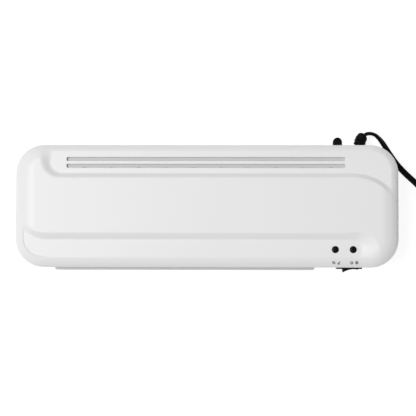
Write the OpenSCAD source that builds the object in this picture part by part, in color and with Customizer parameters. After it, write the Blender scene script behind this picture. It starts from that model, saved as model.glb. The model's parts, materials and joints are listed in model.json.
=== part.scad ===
// Pouch laminator: a long low casing with an entry tray at the front, two heated rollers
// between sheet-metal side frames, and an exit at the back.
// Millimetres. +X runs along the rollers, the front faces -Y, +Z is up, the feet stand on z = 0.

/* [Casing] */
// Overall width of the casing
body_w = 350; // [348:1:356]
// Overall depth of the casing
body_d = 112; // [110:1:116]
// Height of the raised part of the lid above the table
body_h = 62; // [61.5:0.5:64]
// Corner radius of the casing seen from above
corner_r = 26; // [22:1:30]
// Wall thickness of both casings
wall_t = 2.4; // [2:0.1:2.6]
// Height of the parting line between the two casings
seam_z = 27.5; // [27.4:0.1:27.6]
// Width of the shadow gap at the parting line
seam_gap = 0.4; // [0.3:0.1:0.5]
// Clear height under the base
base_z = 2.5; // [2:0.5:3]

/* [Lid relief] */
// How far the channel and the front strip lie below the raised field
step_h = 3.5; // [3:0.5:4]
// Front wall line of the back channel
channel_y = 27.4; // [26:0.2:28]
// Left wall line of the back channel
channel_x = -147; // [-148:1:-146]
// Radius of the channel's left front corner
channel_r = 12; // [10:1:14]
// Where the channel's wall starts to curve forward on the right
sweep_x = 132.7; // [130:0.1:134]
// Radius of that curve
sweep_r = 47.6; // [46:0.2:49]
// Wall line of the front strip
strip_y = -27.8; // [-29:0.2:-26]
// Where the strip's wall starts to curve back on the left
strip_x = -145; // [-147:1:-143]
// Radius of that curve
strip_r = 30.8; // [30.6:0.1:32]
// Right end of the front strip
strip_end_x = 150; // [148:1:152]
// Radius of the strip's right end
strip_end_r = 14; // [10:1:18]

/* [Lid openings] */
// Left end of the vent slots
vent_x0 = -128; // [-130:1:-126]
// Right end of the vent slots
vent_x1 = 126; // [124:1:128]
// Width of one vent slot
vent_w = 3.5; // [3:0.1:4]
// Middle lines of the vent slots, front one first
vent_ys = [36.2, 42.4]; // [36:0.2:43]
// Places of the two lamps across the lid
lamp_xs = [116.7, 132.9]; // [114:0.1:136]
// Distance of the lamps in front of the middle
lamp_y = -39.8; // [-41:0.1:-39]
// Lamp diameter
lamp_d = 6.2; // [5.5:0.1:7]

/* [Sheet path] */
// Left end of the entry tray
tray_x0 = -141.5; // [-142:0.5:-140]
// Right end of the entry tray
tray_x1 = 99.7; // [98:0.1:100]
// How far the entry tray stands out at the front
tray_out = 2.5; // [2:0.1:4]
// Clear height of the entry above the tray
entry_gap = 5; // [4.6:0.1:5.4]

/* [Rollers] */
// Radius of the rubber sleeves
roller_r = 9; // [8.8:0.1:9]
// Gap between the two sleeves at rest
nip_gap = 0.3; // [0.3:0.05:0.4]
// Height of the nip above the table
nip_z = 30.5; // [30.4:0.1:30.6]
// Left end of the rubber
sleeve_x0 = -137; // [-138:1:-135]
// Right end of the rubber
sleeve_x1 = 96; // [94:1:97]
// Radius of the roller cores
core_r = 4; // [3.8:0.1:4.5]
// Radius of the journals
journal_r = 3; // [2.8:0.1:3.2]
// Radial running clearance in the bushes
running = 0.04; // [0.02:0.01:0.08]

/* [Drive] */
// Teeth of each roller gear
roller_teeth = 18; // [18]
// Teeth of the motor pinion
pinion_teeth = 15; // [15]
// Direction from the lower roller to the motor shaft, from +Y towards +Z
motor_angle = 135.6; // [135:0.2:136]
// Distance from the lower roller's axis to the motor shaft
motor_reach = 16.65; // [16.6:0.05:16.7]
// Radius of the motor can
motor_r = 21; // [20:0.5:21]

/* [Release] */
// Depth position of the release rod
rod_y = 17; // [16.9:0.1:17.1]
// Height of the release rod
rod_z = 46; // [45.9:0.1:46.1]
// Middle of the lever across the casing
lever_x = 120; // [119.5:0.5:120.5]
// Width of the lever
lever_w = 8.4; // [8:0.2:8.6]
// How far the lever stands out at the back
lever_out = 7.6; // [6:0.2:9]

/* [Switch] */
// Middle of the power switch across the casing
switch_x = 132.3; // [131.5:0.1:132.5]
// Middle height of the power switch
switch_z = 17.5; // [17:0.5:18]
// Width, depth and height of the switch bezel
bezel = [23.6, 1.3, 16]; // [1:0.1:24]
// Tilt of the rocker either side of level
rocker_tilt = 10.5; // [8:0.5:11]

/* [Mains cord] */
// Where the strain relief leaves the back wall
gland_x = 142.5; // [142:0.5:143]
// Height of the strain relief
gland_z = 20; // [19:0.5:21]
// Width of the flat cord
cord_w = 5.8; // [5:0.1:6]
// Thickness of the flat cord
cord_t = 3.3; // [3:0.1:3.6]

/* [Hidden] */
eps = 0.01;

// Heights
low_h = body_h - step_h;
upper_z0 = seam_z + seam_gap / 2;
lower_z1 = seam_z - seam_gap / 2;
floor_z = base_z + wall_t;
tray_t = 1.6;
tray_z0 = lower_z1 + 0.1;
tray_z1 = tray_z0 + tray_t;
entry_z1 = tray_z1 + entry_gap;
slot_x0 = tray_x0 - 0.7;
slot_x1 = tray_x1 + 0.7;

// Switch pivot: the raised end of the rocker stands out by rocker_out
rocker_half = 7.3;
rocker_depth = 7.6;
rocker_rise = rocker_depth * cos(rocker_tilt) + rocker_half * sin(rocker_tilt);
rocker_out = 4.5;
pivot_y = -body_d / 2 - rocker_out + rocker_rise;

// The object's box is centred on the origin, so the casing sits a little off it
body_y = (rocker_out - lever_out) / 2;

// Lid edge: its width at the sides, front and back, and how far it drops
lid_edge = [14, 16, 14];
lid_drop = 13;
corner_steps = 8;

// Roller axes
lower_axis_z = nip_z - nip_gap / 2 - roller_r;
upper_axis_z = nip_z + nip_gap / 2 + roller_r;
core_x0 = -141;
core_x1 = 100.5;
journal_x0 = -149.6;

// Side frames
frame_t = 1.5;
right_frame_x = 103.5;
left_frame_x = -146;
inner_x0 = left_frame_x + frame_t;
inner_x1 = right_frame_x;
frame_half = 30;
frame_z0 = 8;
frame_z1 = 55.5;
flange_w = 12;
spring_top = 53;
block_half = [6, 7];
rod_r = 3;
tie_r = 2.5;
tie_places = [[-26, 38.5], [-26, 13.5], [26, 13.5]];
flange_screw_ys = [-22, 22];
flange_screw_in = 7.5;
frame_screw_xs = [left_frame_x - flange_screw_in + frame_t, right_frame_x + flange_screw_in];
shoe_screw_lower = [[-11.3, 13], [11.3, 13]];
shoe_screw_upper = [[-11.3, 48]];

// Heating shoes
arch_r = 11.2;
shoe_half = 13;
shoe_h = 13.6;
heater_w = 18;
heater_x0 = -133;
heater_x1 = 92;
heater_t = 1.4;
clamp_t = 0.6;
thermostat_xs = [-60, 20];

// Gears
gear_m = 1;
addendum = 0.8;
dedendum = 1;
pressure = 20;
gear_x0 = 107;
upper_gear_w = 5;
lower_gear_w = 12;
pinion_w = 5;
motor_y = motor_reach * cos(motor_angle);
motor_z = lower_axis_z + motor_reach * sin(motor_angle);
pinion_phase = motor_angle + 180 + (motor_angle - 90) * roller_teeth / pinion_teeth
    + 180 / pinion_teeth;
pinion_x1 = gear_x0 + lower_gear_w;
bracket_x = pinion_x1 + 0.8;
bracket_t = 1.2;
motor_x = bracket_x + bracket_t;
motor_len = 17;
motor_ears = [[motor_y, motor_z + 18], [motor_y, motor_z - 16.5]];
standoff_places = [[-25.5, 20], [-25.5, 50], [12.5, 30.5]];

// Release
finger_arm = 8.2;
finger_r = 1.5;
ear_gap = 0.15;
ear_z = rod_z + finger_r + ear_gap;
finger_xs = [right_frame_x + frame_t + 0.35, left_frame_x - 1.55];
lever_tip_y = body_d / 2 + lever_out;

// Fixings
foot_places = [for (x = [-140, 140], y = [-36, 36]) [x, y]];
foot_r = 6;
// x, y and how high each casing screw's upper boss reaches into the lid
boss_places = [[-160, -36, 57], [160, -36, 60.3], [160, 36, 57], [-160, 36, 60.3]];
board = [106, -49.5, 49.6, 148, -33.8, 51.2];
board_screw_places = [[109.5, -37.5], [144, -37.5]];

// Strain relief: a short straight neck, then a ribbed arc that turns right and down
gland_neck = 2.4;
gland_r = 9;
gland_turn = 60;
gland_roll = 50;
gland_core = 4.7;
gland_ribs = 4;
rib_t = 1.5;
rib_r = 5.8;

// Cord route from the strain relief: x, y, z and the twist of its flat side, 90 on edge, 0 flat
route = [
    [143.95, 64.4, 18.3, 90], [145.4, 66.2, 16.5, 90], [147.4, 68.3, 14.5, 90],
    [150.5, 70, 12, 90], [154.6, 70.4, 9.5, 85], [158.9, 69, 7.3, 75], [162.9, 65.6, 5.6, 58],
    [166.8, 60.6, 4.5, 42], [170.4, 54.8, 3.7, 30], [174.6, 48.6, 3, 18], [179, 42.5, 2.5, 8],
    [184.8, 36, 2, 2], [191.2, 29.8, 1.8, 0], [197.6, 23.8, 1.9, 10],
    [203, 17, 2.8, 45], [206.6, 9, 3.6, 80], [208, 0, 3.8, 90]
];
coil_x = 245.5;
coil_y = 0;
coil_r0 = 25;
coil_r1 = 39.3;
coil_z0 = 0.8;
coil_z1 = 12.6;
// End of the cord from the top of the coil to the plug
tail = [
    [280.2, 0, 9.6, 90], [281, 8, 9.2, 90], [281.6, 15, 8.4, 90], [282, 22, 7.8, 90], [282, 28, 7.6, 90]
];
plug_at = [282, 26, 7.6];
plug_len = 38;
plug_w = 25;
plug_t = 15;
blade = [6.3, 18, 1.5];
blade_pitch = 12.7;

WHITE = [0.93, 0.93, 0.92];
LIGHT_GREY = [0.72, 0.72, 0.73];
BLACK = [0.06, 0.06, 0.065];
STEEL = [0.62, 0.64, 0.66];
ALUMINIUM = [0.78, 0.79, 0.8];
RUBBER = [0.75, 0.32, 0.22];

// ---------- shared shapes ----------

// Everything is drawn about the casing's middle and then set in its place
module placed() {
    translate([0, body_y, 0]) children();
}

// Box from one corner to the opposite one
module span(a, b) {
    translate(a) cube(b - a);
}

// Cylinder along +X from x0 to x1, about the line at y, z
module x_rod(x0, x1, y, z, r) {
    translate([x0, y, z]) rotate([0, 90, 0]) cylinder(h = x1 - x0, r = r, $fn = 48);
}

// Cylinder along +Y from y0 to y1
module y_rod(x, y0, y1, z, r) {
    translate([x, y0, z]) rotate([-90, 0, 0]) cylinder(h = y1 - y0, r = r, $fn = 48);
}

module z_rod(x, y, z0, z1, r) {
    translate([x, y, z0]) cylinder(h = z1 - z0, r = r, $fn = 48);
}

// Bar along X from x0 to x1 whose section is drawn in Y and Z
module x_bar(x0, x1) {
    translate([x0, 0, 0]) rotate([90, 0, 90]) linear_extrude(x1 - x0) children();
}

// Rounded rectangle about the origin
module rounded_plan(w, d, r) {
    square([w - 2 * r, d], center = true);
    square([w, d - 2 * r], center = true);
    for (sx = [-1, 1], sy = [-1, 1])
        translate([sx * (w / 2 - r), sy * (d / 2 - r)]) circle(r = r, $fn = 32);
}

// Points of the casing's plan, pulled in from the sides, the front and the back
function plan_ring(z, side, front, back) =
    let (
        r = max(corner_r - side, 4),
        x = body_w / 2 - side - r,
        corners = [[x, body_d / 2 - back - r], [-x, body_d / 2 - back - r],
            [-x, -body_d / 2 + front + r], [x, -body_d / 2 + front + r]]
    )
    [for (q = [0 : 3], i = [0 : corner_steps])
        let (a = 90 * q + 90 * i / corner_steps)
            [corners[q][0] + r * cos(a), corners[q][1] + r * sin(a), z]];

// Solid through rings of the plan; each level is z and its insets at the side, front and back
module loft(levels) {
    n = 4 * (corner_steps + 1);
    last = len(levels) - 1;
    polyhedron(
        points = [for (v = levels) each plan_ring(v[0], v[1], v[2], v[3])],
        faces = [
            [for (k = [0 : n - 1]) k],
            for (i = [0 : last - 1], k = [0 : n - 1])
                [(i + 1) * n + k, (i + 1) * n + (k + 1) % n, i * n + (k + 1) % n, i * n + k],
            [for (k = [n - 1 : -1 : 0]) last * n + k]
        ]
    );
}

// Solid with straight walls from z0 and an elliptical edge up to its flat top at z1
module dome(z0, z1, inset) {
    loft([
        [z0, inset, inset, inset],
        for (a = [90 : -15 : 0])
            let (in = (1 - sin(a)) * lid_edge + [inset, inset, inset])
                [z1 - lid_drop * (1 - cos(a)), in[0], in[1], in[2]]
    ]);
}

// Points of an arc, from angle a0 to a1
function arc(c, r, a0, a1, n = 12) =
    [for (i = [0 : n]) let (a = a0 + (a1 - a0) * i / n) c + r * [cos(a), sin(a)]];

// Plan of the back channel, grown outwards by g
module channel_plan(g) {
    far = body_w;
    polygon([
        each arc([channel_x + channel_r, channel_y + channel_r], channel_r + g, 180, 270),
        each arc([sweep_x, channel_y - sweep_r], sweep_r - g, 90, 0, 18),
        [far, channel_y - sweep_r], [far, far], [channel_x - g, far]
    ]);
}

// Plan of the front strip, grown outwards by g
module strip_plan(g) {
    far = body_w;
    polygon([
        [-far, -far], [strip_end_x + g, -far],
        each arc([strip_end_x - strip_end_r, strip_y - strip_end_r], strip_end_r + g, 0, 90),
        each arc([strip_x, strip_y + strip_r], strip_r - g, 270, 180, 18),
        [-far, strip_y + strip_r]
    ]);
}

// The lid's solid form, pulled in by inset: raised in the middle, lower at the back and front
module lid_form(z0, inset) {
    difference() {
        dome(z0, body_h - inset, inset);
        translate([0, 0, low_h - inset]) linear_extrude(body_h) channel_plan(inset);
        translate([0, 0, low_h - inset]) linear_extrude(body_h) strip_plan(inset);
    }
}

// Slots for the sheet in the front and back walls
module sheet_slots() {
    for (s = [-1, 1])
        translate([slot_x0, s * body_d / 2 - 15, upper_z0 - 5])
            cube([slot_x1 - slot_x0, 30, entry_z1 - upper_z0 + 5]);
}

// Gear section about the origin with a tooth on the +X side; involute flanks
function inv(a) = tan(a) * 180 / PI - a;
function flank(r, pitch_r, half) =
    half + inv(pressure) - inv(acos(min(1, pitch_r * cos(pressure) / r)));
module gear_section(n) {
    pitch_r = gear_m * n / 2;
    radii = [pitch_r - dedendum, pitch_r * cos(pressure) + 0.05, pitch_r, pitch_r + addendum];
    half = 90 / n - 0.25;
    angles = [for (r = radii) flank(max(r, radii[1]), pitch_r, half)];
    polygon([
        for (k = [0 : n - 1], i = [0 : 7])
            let (j = i < 4 ? i : 7 - i, a = k * 360 / n + (i < 4 ? -1 : 1) * angles[j])
                [radii[j] * cos(a), radii[j] * sin(a)]
    ]);
}

// Gear along X with a tooth at the given angle from +Y towards +Z
module x_gear(x0, w, y, z, n, phase, bore) {
    difference() {
        translate([x0, y, z]) rotate([90, 0, 90]) rotate(phase) linear_extrude(w) gear_section(n);
        x_rod(x0 - 1, x0 + w + 1, y, z, bore);
    }
}

// Round-headed screw with a cross recess, standing on its head side at the origin, shank along -Z
module screw(head_r, head_h, shank_r, shank_l) {
    difference() {
        cylinder(h = head_h, r = head_r, $fn = 32);
        for (a = [0, 90]) rotate(a) translate([-head_r * 0.6, -0.4, head_h * 0.45])
            cube([head_r * 1.2, 0.8, head_h]);
    }
    translate([0, 0, -shank_l]) cylinder(h = shank_l, r = shank_r, $fn = 32);
}

// ---------- sweep of a flat cord ----------

function unit(v) = v / norm(v);
function at(p, i) = p[max(0, min(len(p) - 1, i))];
function place(p) = [p[0], p[1], p[2]];
// Smooth point between the i-th and the next one, u from 0 to 1
function between(p, i, u) = 0.5 * (2 * at(p, i) + (at(p, i + 1) - at(p, i - 1)) * u
    + (2 * at(p, i - 1) - 5 * at(p, i) + 4 * at(p, i + 1) - at(p, i + 2)) * u * u
    + (3 * at(p, i) - at(p, i - 1) - 3 * at(p, i + 1) + at(p, i + 2)) * u * u * u);
// The route with one more point between each two
function finer(p) = [for (i = [0 : len(p) - 2], u = [0, 0.5]) between(p, i, u), p[len(p) - 1]];

// Ring of 8 points across the cord at the i-th point
function ring(p, i, w, t) =
    let (
        along = unit(place(at(p, i + 1)) - place(at(p, i - 1))),
        side = unit(cross(along, [0, 0, 1])),
        up = cross(side, along),
        a = at(p, i)[3],
        wide = cos(a) * side + sin(a) * up,
        thin = cos(a) * up - sin(a) * side
    )
    [for (k = [0 : 7]) place(at(p, i)) + w / 2 * cos(k * 45 + 22.5) / cos(22.5) * 0.98 * wide
        + t / 2 * sin(k * 45 + 22.5) / sin(67.5) * thin];

module flat_cord(p, w, t) {
    n = len(p);
    polyhedron(
        points = [for (i = [0 : n - 1]) each ring(p, i, w, t)],
        faces = [
            [for (k = [0 : 7]) k],
            for (i = [0 : n - 2], k = [0 : 7])
                [i * 8 + k, (i + 1) * 8 + k, (i + 1) * 8 + (k + 1) % 8, i * 8 + (k + 1) % 8],
            [for (k = [7 : -1 : 0]) (n - 1) * 8 + k]
        ]
    );
}

// Round wire through a list of points; no stretch of it is upright
module wire(points, r) {
    flat_cord(finer([for (p = points) [p[0], p[1], p[2], 0]]), 2 * r, 2 * r);
}

// ---------- casing ----------

module upper_casing() {
    color(WHITE) placed() difference() {
        union() {
            difference() {
                lid_form(upper_z0, 0);
                lid_form(upper_z0 - 1, wall_t);
            }
            for (b = boss_places) z_rod(b[0], b[1], 23, b[2], 3.5);
            for (b = board_screw_places) z_rod(b[0], b[1], board[5], low_h - 1, 2.4);
        }
        sheet_slots();
        for (y = vent_ys) {
            span([vent_x0 + vent_w / 2, y - vent_w / 2, low_h - 5],
                 [vent_x1 - vent_w / 2, y + vent_w / 2, low_h + 1]);
            for (x = [vent_x0 + vent_w / 2, vent_x1 - vent_w / 2])
                z_rod(x, y, low_h - 5, low_h + 1, vent_w / 2);
        }
        for (x = lamp_xs) z_rod(x, lamp_y, low_h - 5, low_h + 1, lamp_d / 2 + 0.1);
        for (b = boss_places) z_rod(b[0], b[1], 20, 36, 1.55);
        for (b = board_screw_places) z_rod(b[0], b[1], board[5] - 1, board[5] + 4.5, 1.05);
        span([lever_x - lever_w / 2 - 0.7, body_d / 2 - 10, upper_z0 - 5],
             [lever_x + lever_w / 2 + 0.7, body_d / 2 + 5, rod_z + 0.8]);
    }
}

// Tray-shaped base: walls straight down to base_z + 7.5, then drawn in towards the bottom
module base_form(z0, z1, inset) {
    loft([for (v = [[z0, 6], [z0 + 1.5, 3], [z0 + 4, 0.9], [z0 + 7.5, 0], [z1, 0]])
        [v[0], v[1] + inset, v[1] + inset, v[1] + inset]]);
}

module lower_casing() {
    lip_z = seam_z + 2.8;
    color(WHITE) placed() difference() {
        union() {
            difference() {
                base_form(base_z, lower_z1, 0);
                base_form(floor_z, lower_z1 + 1, wall_t);
            }
            // locating lip inside the lid
            difference() {
                union() {
                    translate([0, 0, seam_z - 5.5]) linear_extrude(5.5 - seam_gap / 2)
                        rounded_plan(body_w - 4.4, body_d - 4.4, corner_r - 2.2);
                    translate([0, 0, seam_z - 5.5]) linear_extrude(lip_z - seam_z + 5.5)
                        rounded_plan(body_w - 5.4, body_d - 5.4, corner_r - 2.7);
                }
                translate([0, 0, seam_z - 6]) linear_extrude(10)
                    rounded_plan(body_w - 7.8, body_d - 7.8, corner_r - 3.9);
            }
            for (b = boss_places) z_rod(b[0], b[1], base_z + 1, 22.8, 4.5);
            for (x = frame_screw_xs, y = flange_screw_ys) z_rod(x, y, floor_z - 0.5, frame_z0, 4);
            // pocket walls round the switch
            for (z = [switch_z - 9.2, switch_z + 7.7])
                span([switch_x - 11, -body_d / 2 + 1, z], [switch_x + 11, -44, z + 1.5]);
        }
        translate([0, 0, lower_z1]) difference() {
            span([slot_x0, -body_d, 0], [slot_x1, body_d, 5]);
            span([slot_x0 - 1, -40, -1], [slot_x1 + 1, 40, 6]);
        }
        span([lever_x - lever_w / 2 - 0.8, body_d / 2 - 6, lower_z1],
             [lever_x + lever_w / 2 + 0.8, body_d / 2 + 5, lip_z + 1]);
        for (b = boss_places) {
            z_rod(b[0], b[1], 0, 19.8, 3.5);
            z_rod(b[0], b[1], 0, 24, 1.7);
        }
        for (f = foot_places) z_rod(f[0], f[1], 0, base_z + 0.8, foot_r);
        for (x = frame_screw_xs, y = flange_screw_ys) z_rod(x, y, floor_z, frame_z0 + 1, 1.6);
        span([switch_x - 9.7, -body_d / 2 - 5, switch_z - 6.6],
             [switch_x + 9.7, -44, switch_z + 6.6]);
        y_rod(gland_x, body_d / 2 - 6, body_d / 2 + 5, gland_z, 4.6);
        y_rod(gland_x, body_d / 2 - 6, body_d / 2 - wall_t, gland_z, 7);
        // air slots in the floor
        for (x = [-75, -15, 45], y = [-34, -28, 28, 34])
            span([x - 22, y - 1.4, 0], [x + 22, y + 1.4, floor_z + 1]);
    }
}

module entry_tray() {
    y0 = -body_d / 2 - tray_out;
    cut = 1.6;
    color(LIGHT_GREY) placed() {
        translate([0, 0, tray_z0]) linear_extrude(tray_t) polygon([
            [tray_x0 + cut, y0], [tray_x1 - cut, y0], [tray_x1, y0 + cut], [tray_x1, -32],
            [tray_x0, -32], [tray_x0, y0 + cut]
        ]);
        // stiffening ribs on top, low and rounded off towards the front
        for (x = [-120 : 40 : 80]) x_bar(x - 0.7, x + 0.7)
            polygon([[-50, tray_z1 - 0.3], [-50, tray_z1], [-44, tray_z1 + 0.4],
                [-34, tray_z1 + 0.4], [-34, tray_z1 - 0.3]]);
    }
}

module exit_tray() {
    color(LIGHT_GREY) placed()
        span([tray_x0, 24, tray_z0], [tray_x1, body_d / 2 + 0.6, tray_z1]);
}

module vent_baffle() {
    z = 54.9;
    x0 = vent_x0 - 7;
    x1 = vent_x1 + 7;
    color(LIGHT_GREY) placed() {
        difference() {
            span([x0, 32, z], [x1, 46.5, z + 1]);
            for (x = [-112 : 25 : 113]) z_rod(x, 33.6, z - 1, z + 2, 1.5);
        }
        for (x = [x0 + 2.5, x1 - 2.5]) z_rod(x, 39.3, z + 1 - eps, low_h - wall_t, 2);
    }
}

module rubber_feet() {
    color(BLACK) placed() for (f = foot_places) {
        z_rod(f[0], f[1], 0, base_z + 0.8, foot_r);
    }
}

module casing_screws() {
    color(STEEL) placed() for (b = boss_places)
        translate([b[0], b[1], 19.8]) rotate([180, 0, 0]) screw(2.8, 2.2, 1.5, 14);
}

// ---------- switch, lamps and board ----------

module switch_housing() {
    y0 = -body_d / 2 - bezel[1];
    color(BLACK) placed() difference() {
        union() {
            translate([switch_x, y0, switch_z]) rotate([-90, 0, 0]) linear_extrude(bezel[1])
                rounded_plan(bezel[0], bezel[2], 1.5);
            span([switch_x - 9.6, y0 + 1, switch_z - 6.5], [switch_x + 9.6, -41, switch_z + 6.5]);
        }
        span([switch_x - 8.7, y0 - 1, switch_z - 5.4], [switch_x + 8.7, -46, switch_z + 5.4]);
        z_rod(switch_x, pivot_y, switch_z - 6.2, switch_z + 6.2, 1.25);
    }
}

module power_rocker() {
    h = 10.4;
    color(BLACK) placed() translate([switch_x, pivot_y, switch_z]) rotate(rocker_tilt) {
        translate([0, 0, -h / 2]) linear_extrude(h) polygon([
            [-rocker_half, -rocker_depth], [0, -6.2], [rocker_half, -rocker_depth],
            [rocker_half - 0.7, -1], [3, 3], [-3, 3], [-rocker_half + 0.7, -1]
        ]);
        translate([0, 0, -6]) cylinder(h = 12, r = 1.2, $fn = 32);
    }
}

module switch_terminals() {
    color(STEEL) placed() for (x = [-5, 5], z = [-3, 3])
        span([switch_x + x - 0.4, -41, switch_z + z - 1.6],
             [switch_x + x + 0.4, -35, switch_z + z + 1.6]);
}

module lamp_lenses() {
    color(BLACK) placed() for (x = lamp_xs) {
        z_rod(x, lamp_y, 54.2, low_h + 0.2, lamp_d / 2);
        z_rod(x, lamp_y, 54.2, low_h - wall_t - 0.1, lamp_d / 2 + 0.9);
        z_rod(x, lamp_y, low_h + 0.2 - eps, low_h + 0.45, lamp_d / 2 - 0.9);
    }
}

module indicator_leds() {
    color([0.8, 0.9, 0.8]) placed() for (x = lamp_xs) z_rod(x, lamp_y, board[5], 54.1, 1.5);
}

module indicator_board() {
    color([0.1, 0.35, 0.2]) placed() difference() {
        span([board[0], board[1], board[2]], [board[3], board[4], board[5]]);
        for (b = board_screw_places) z_rod(b[0], b[1], board[2] - 1, board[5] + 1, 1.1);
    }
}

module board_components() {
    color([0.2, 0.2, 0.22]) placed() {
        // relay, capacitor, resistors and the plug for the wires, under the board
        span([120, -47, board[2] - 9], [134, -38, board[2]]);
        z_rod(112.5, -44.5, board[2] - 8, board[2], 2.5);
        for (x = [137 : 2.6 : 143]) span([x, -48, board[2] - 2], [x + 1.6, -43, board[2]]);
        span([138, -40, board[2] - 5], [142, -34.5, board[2]]);
    }
}

module board_screws() {
    color(STEEL) placed() for (b = board_screw_places)
        translate([b[0], b[1], board[2]]) rotate([180, 0, 0]) screw(1.9, 1.3, 1, 5.4);
}

// ---------- frames ----------

// Side frame: upright plate with a window for the sliding bearing and a foot flange,
// out = 1 when the flange points to +X
module side_frame(x, out) {
    window = block_half[0] + 0.15;
    difference() {
        union() {
            x_bar(x, x + frame_t) polygon([
                [-frame_half, frame_z0], [frame_half, frame_z0], [frame_half, 46], [22, frame_z1],
                [-22, frame_z1], [-frame_half, 50]
            ]);
            translate([out > 0 ? x : x + frame_t - flange_w, -frame_half, frame_z0])
                cube([flange_w, 2 * frame_half, frame_t]);
        }
        span([x - 1, -window, upper_axis_z - block_half[1] - 0.15],
            [x + frame_t + 1, window, spring_top]);
        x_rod(x - 1, x + frame_t + 1, 0, lower_axis_z, 5);
        x_rod(x - 1, x + frame_t + 1, rod_y, rod_z, rod_r + running);
        for (p = tie_places) x_rod(x - 1, x + frame_t + 1, p[0], p[1], 1.5);
        for (p = concat(shoe_screw_lower, shoe_screw_upper))
            x_rod(x - 1, x + frame_t + 1, p[0], p[1], 1.4);
        for (y = flange_screw_ys)
            z_rod(out > 0 ? x + flange_screw_in : x + frame_t - flange_screw_in, y, 0, 12, 1.7);
    }
}

module left_side_frame() {
    color(STEEL) placed() side_frame(left_frame_x, -1);
}

module right_side_frame() {
    color(STEEL) placed() difference() {
        side_frame(right_frame_x, 1);
        for (p = standoff_places)
            x_rod(right_frame_x - 1, right_frame_x + frame_t + 1, p[0], p[1], 1.25);
    }
}

module frame_tie_rods() {
    color(STEEL) placed() for (p = tie_places) {
        x_rod(inner_x0, inner_x1, p[0], p[1], tie_r);
        x_rod(inner_x0 - frame_t - 2.6, inner_x1 + frame_t + 2.6, p[0], p[1], 1.5);
    }
}

module tie_rod_nuts() {
    color(STEEL) placed() for (p = tie_places, x = [inner_x0 - frame_t - 2.4, inner_x1 + frame_t])
        difference() {
            translate([x, p[0], p[1]]) rotate([0, 90, 0]) cylinder(h = 2.4, r = 3, $fn = 6);
            x_rod(x - 1, x + 4, p[0], p[1], 1.5);
        }
}

module frame_screws() {
    color(STEEL) placed() for (x = frame_screw_xs, y = flange_screw_ys)
        translate([x, y, frame_z0 + frame_t]) screw(3.2, 2, 1.55, 4.4);
}

module shoe_screws() {
    color(STEEL) placed() for (p = concat(shoe_screw_lower, shoe_screw_upper)) {
        translate([inner_x1 + frame_t, p[0], p[1]]) rotate([0, 90, 0]) screw(2.2, 1.5, 1.25, 8);
        translate([inner_x0 - frame_t, p[0], p[1]]) rotate([0, -90, 0]) screw(2.2, 1.5, 1.25, 8);
    }
}

// ---------- rollers ----------

// Steel core with a journal at each end
module roller_core(z, x1) {
    x_rod(core_x0, core_x1, 0, z, core_r);
    x_rod(journal_x0, x1, 0, z, journal_r);
}

module roller_sleeve(z) {
    difference() {
        x_rod(sleeve_x0, sleeve_x1, 0, z, roller_r);
        x_rod(sleeve_x0 - 1, sleeve_x1 + 1, 0, z, core_r);
    }
}

// Spring clip on a journal
module clip(x, z) {
    difference() {
        x_rod(x, x + 0.7, 0, z, 4.6);
        x_rod(x - 1, x + 2, 0, z, journal_r);
    }
}

module lower_roller_core() {
    color(STEEL) placed() roller_core(lower_axis_z, pinion_x1 + 0.2);
}

module lower_roller_sleeve() {
    color(RUBBER) placed() roller_sleeve(lower_axis_z);
}

module lower_roller_gear() {
    color(WHITE) placed() x_gear(gear_x0, lower_gear_w, 0, lower_axis_z, roller_teeth, 90, journal_r);
}

module lower_roller_clips() {
    color(STEEL) placed() clip(-149, lower_axis_z);
}

module lower_bushes() {
    color([0.7, 0.55, 0.25]) placed() for (s = [[inner_x0, -1], [inner_x1, 1]]) difference() {
        union() {
            x_rod(min(s[0] - s[1] * 1.2, s[0]), max(s[0] - s[1] * 1.2, s[0]), 0, lower_axis_z, 6.2);
            x_rod(min(s[0], s[0] + s[1] * 2.6), max(s[0], s[0] + s[1] * 2.6), 0, lower_axis_z, 5);
        }
        x_rod(s[0] - 5, s[0] + 5, 0, lower_axis_z, journal_r + running);
    }
}

module upper_roller_core() {
    color(STEEL) placed() roller_core(upper_axis_z, gear_x0 + upper_gear_w + 0.8);
}

module upper_roller_sleeve() {
    color(RUBBER) placed() roller_sleeve(upper_axis_z);
}

module upper_roller_gear() {
    color(WHITE) placed()
        x_gear(gear_x0, upper_gear_w, 0, upper_axis_z, roller_teeth, 90 + 180 / roller_teeth, journal_r);
}

module upper_roller_clips() {
    color(STEEL) placed() clip(-149.2, upper_axis_z);
}

// Sliding bearing in a frame window, drawn for the right frame and mirrored for the left one
module bearing_block() {
    inner = -1.5;
    outer = frame_t + 0.15;
    ear = ear_z - upper_axis_z;
    difference() {
        union() {
            span([inner, -block_half[0], -block_half[1]],
                [outer + 1.4, block_half[0], block_half[1]]);
            span([inner, -7.4, -7.9], [-0.15, 7.4, 7.9]);
            span([outer, -6.9, -7.9], [outer + 1.4, 6.9, ear + 2.4]);
            // ear that the release finger lifts
            span([outer, 0, ear], [outer + 1.4, 12, ear + 2.4]);
        }
        x_rod(-5, 8, 0, 0, journal_r + running);
        // room for the spring above the block, and the pip that keeps it in place
        translate([frame_t / 2, 0, block_half[1]]) cylinder(h = 8, r = 2.75, $fn = 32);
    }
    translate([frame_t / 2, 0, block_half[1] - eps]) cylinder(h = 1.8, r = 1.1, $fn = 24);
}

module upper_bearing_blocks() {
    color(LIGHT_GREY) placed() {
        translate([right_frame_x, 0, upper_axis_z]) bearing_block();
        translate([inner_x0, 0, upper_axis_z]) mirror([1, 0, 0]) bearing_block();
    }
}

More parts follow.
